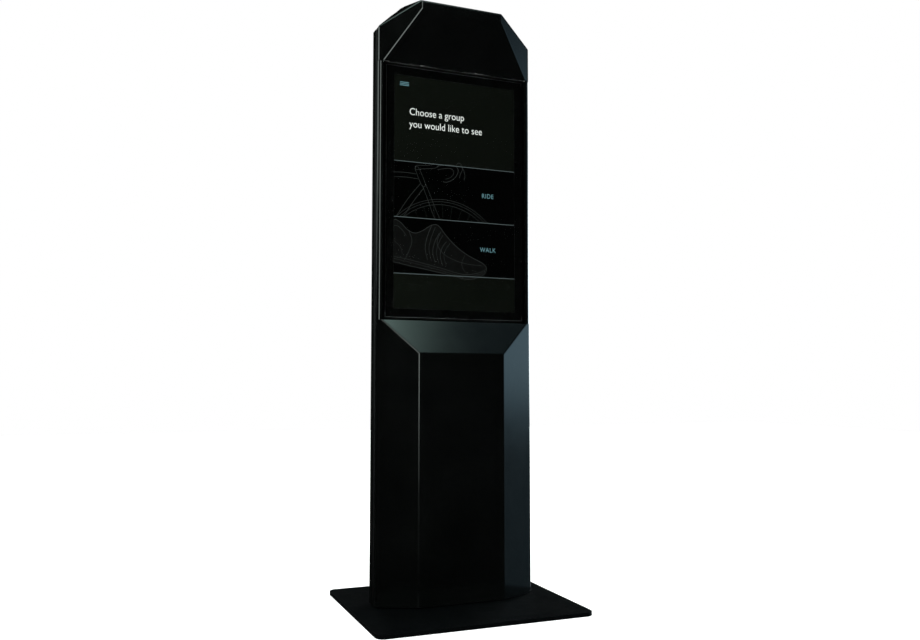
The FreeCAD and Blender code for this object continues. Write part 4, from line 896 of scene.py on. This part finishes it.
class Studio:
    """World: white to the eye, even for diffuse light, and soft boxes for reflections."""

    def __init__(self):
        world = bpy.data.worlds.new("studio")
        world.use_nodes = True
        scene.world = world
        self.tree = world.node_tree
        self.tree.nodes.clear()
        direction = self.tree.nodes.new("ShaderNodeTexCoord").outputs["Generated"]
        split = self.tree.nodes.new("ShaderNodeSeparateXYZ")
        self.tree.links.new(direction, split.inputs[0])
        self.level = split.outputs["Z"]
        forwards = self.math("MULTIPLY", split.outputs["Y"], -1.0)
        turn = self.math("ARCTAN2", split.outputs["X"], forwards)
        self.turn = self.math("MULTIPLY", turn, 180 / math.pi)
        self.away = self.math("ABSOLUTE", self.turn)
        self.total = None

    def feed(self, value, socket):
        if isinstance(value, bpy.types.NodeSocket):
            self.tree.links.new(value, socket)
        else:
            socket.default_value = value

    def math(self, operation, first, second=0.0):
        made = self.tree.nodes.new("ShaderNodeMath")
        made.operation = operation
        self.feed(first, made.inputs[0])
        self.feed(second, made.inputs[1])
        return made.outputs[0]

    def step(self, value, start, end, low, high):
        made = self.tree.nodes.new("ShaderNodeMapRange")
        made.interpolation_type = "SMOOTHSTEP"
        for socket, number in zip(made.inputs, (value, start, end, low, high)):
            self.feed(number, socket)
        return made.outputs[0]

    def box(self, across, levels, strength, colour, rear=False):
        """Soft box: four turns in degrees and four levels, each off, on, on and off."""
        turn = self.away if rear else self.turn
        share = self.math("MULTIPLY", self.step(turn, across[0], across[1], 0.0, 1.0),
                          self.step(turn, across[2], across[3], 1.0, 0.0))
        rise = self.math("MULTIPLY", self.step(self.level, levels[0], levels[1], 0.0, 1.0),
                         self.step(self.level, levels[2], levels[3], 1.0, 0.0))
        share = self.math("MULTIPLY", self.math("MULTIPLY", share, rise), strength)
        scaled = self.tree.nodes.new("ShaderNodeVectorMath")
        scaled.operation = "SCALE"
        scaled.inputs[0].default_value = colour
        self.feed(share, scaled.inputs["Scale"])
        if self.total is None:
            self.total = scaled.outputs[0]
        else:
            added = self.tree.nodes.new("ShaderNodeVectorMath")
            added.operation = "ADD"
            self.feed(self.total, added.inputs[0])
            self.feed(scaled.outputs[0], added.inputs[1])
            self.total = added.outputs[0]

    def finish(self, diffuse, sight):
        """Joins the three kinds of light by the kind of ray."""
        backgrounds = []
        for colour, strength in ((self.total, 1.0), ((1, 1, 1, 1), diffuse), ((1, 1, 1, 1), sight)):
            made = self.tree.nodes.new("ShaderNodeBackground")
            self.feed(colour, made.inputs["Color"])
            made.inputs["Strength"].default_value = strength
            backgrounds.append(made.outputs[0])
        ray = self.tree.nodes.new("ShaderNodeLightPath")
        result = backgrounds[0]
        for background, kind in zip(backgrounds[1:], ("Is Diffuse Ray", "Is Camera Ray")):
            made = self.tree.nodes.new("ShaderNodeMixShader")
            self.feed(ray.outputs[kind], made.inputs[0])
            self.feed(result, made.inputs[1])
            self.feed(background, made.inputs[2])
            result = made.outputs[0]
        output = self.tree.nodes.new("ShaderNodeOutputWorld")
        self.tree.links.new(result, output.inputs["Surface"])


def studio_light():
    """Soft boxes.  Turns are degrees from -Y towards +X; a level is a direction's Z."""
    cool = (0.51, 0.82, 1.0)
    green = (0.88, 1.0, 0.95)
    blue_white = (0.86, 0.95, 1.0)
    everywhere = (-400, -300, 300, 400)
    below = (-0.7, -0.6, -0.4, -0.3)
    right = (46, 60, 92, 108)
    studio = Studio()
    studio.box(everywhere, (-2, -1.5, 2, 3), 0.006, green)
    # right: the bright part above the horizon and its dim tail below
    studio.box(right, (-0.07, 0.03, 0.06, 0.5), 1.65, cool)
    studio.box(right, (-0.6, -0.05, -0.03, 0.06), 0.21, cool)
    # overhead, for the chin
    studio.box((-70, -50, 23.4, 34.4), (0.67, 0.78, 0.9, 1.0), 4.9, (0.68, 1.0, 0.9))
    studio.box((-70, -50, 40, 52), (0.62, 0.7, 0.9, 1.0), 0.14, cool)
    # front strip and left, for the rounded folds
    studio.box((-19, -13, 2, 9), (-0.13, 0.04, 0.3, 0.6), 5.0, green)
    studio.box((-118, -104, -84, -70), (0.19, 0.27, 0.42, 0.6), 3.6, green)
    # right rear, for the outer right edge
    studio.box((84, 98, 124, 136), (-0.10, 0.05, 0.12, 0.30), 12.0, blue_white)
    studio.box((104, 118, 130, 140), (-0.6, -0.4, -0.10, 0.0), 1.3, blue_white)
    # the rest shows only from the sides, the rear and above
    studio.box((-152, -138, -126, -112), (0.08, 0.2, 0.45, 0.7), 1.4, green)
    studio.box((167, 174, 181, 182), (-0.3, -0.05, 0.15, 0.42), 0.5, blue_white, rear=True)
    studio.box((-145, -125, -60, -38), below, 0.5, green)
    studio.box((35, 44, 50, 58), below, 0.6, green)
    studio.box((170, 176, 181, 182), below, 0.6, green, rear=True)
    studio.box(everywhere, (0.87, 0.95, 1.1, 1.2), 1.2, green)
    studio.finish(1.0, 1.0)


def lamp(name, place, target, size, power):
    """Soft light that shapes the dull parts; the studio world gives the reflections."""
    data = bpy.data.lights.new(name, "AREA")
    data.shape = "RECTANGLE"
    data.size, data.size_y = size
    data.energy = power
    made = bpy.data.objects.new(name, data)
    aim = (Vector(target) - Vector(place)).to_track_quat("-Z", "Y")
    made.matrix_world = Matrix.Translation(place) @ aim.to_matrix().to_4x4()
    made.visible_camera = False
    made.visible_glossy = False
    made.visible_transmission = False
    scene.collection.objects.link(made)


def dress_cad_nodes(slots):
    """Gives every CAD node the finished material of its slot in the record."""
    own = {"display_loom": braided()}
    for part in frame["record"]["subparts"]:
        node = nodes[part["node"]]
        material = own.get(part["node"], slots[part["material_slot"]])
        for number in range(len(node.data.materials)):
            node.data.materials[number] = material


aim_camera()
slots = slot_materials()
dress_cad_nodes(slots)
picture()
brass = brushed("contact_gold", tone(0.72, 0.52, 0.22), tone(0.85, 0.64, 0.30), (0.2, 0.32), "y")
white = coated("mark_print", grey(0.55), grey(0.65), (0.4, 0.5), 900.0, 0.05)
green_lamp = lit("lamp_green", tone(0.05, 0.55, 0.12), 0.8, base=0.02)
rear_fixings(slots)
socket_details(brass, white)
player_details(slots, green_lamp)
supply_details(slots)
lead_details(slots)
pale_floor()
studio_light()
lamp("key_light", (1.8, -2.6, 3.2), (0, 0, 0.9), (1.8, 1.8), 70)
lamp("back_light", (-1.2, 2.8, 2.6), (0, 0, 0.8), (1.8, 1.8), 70)
scene.view_settings.view_transform = "Standard"
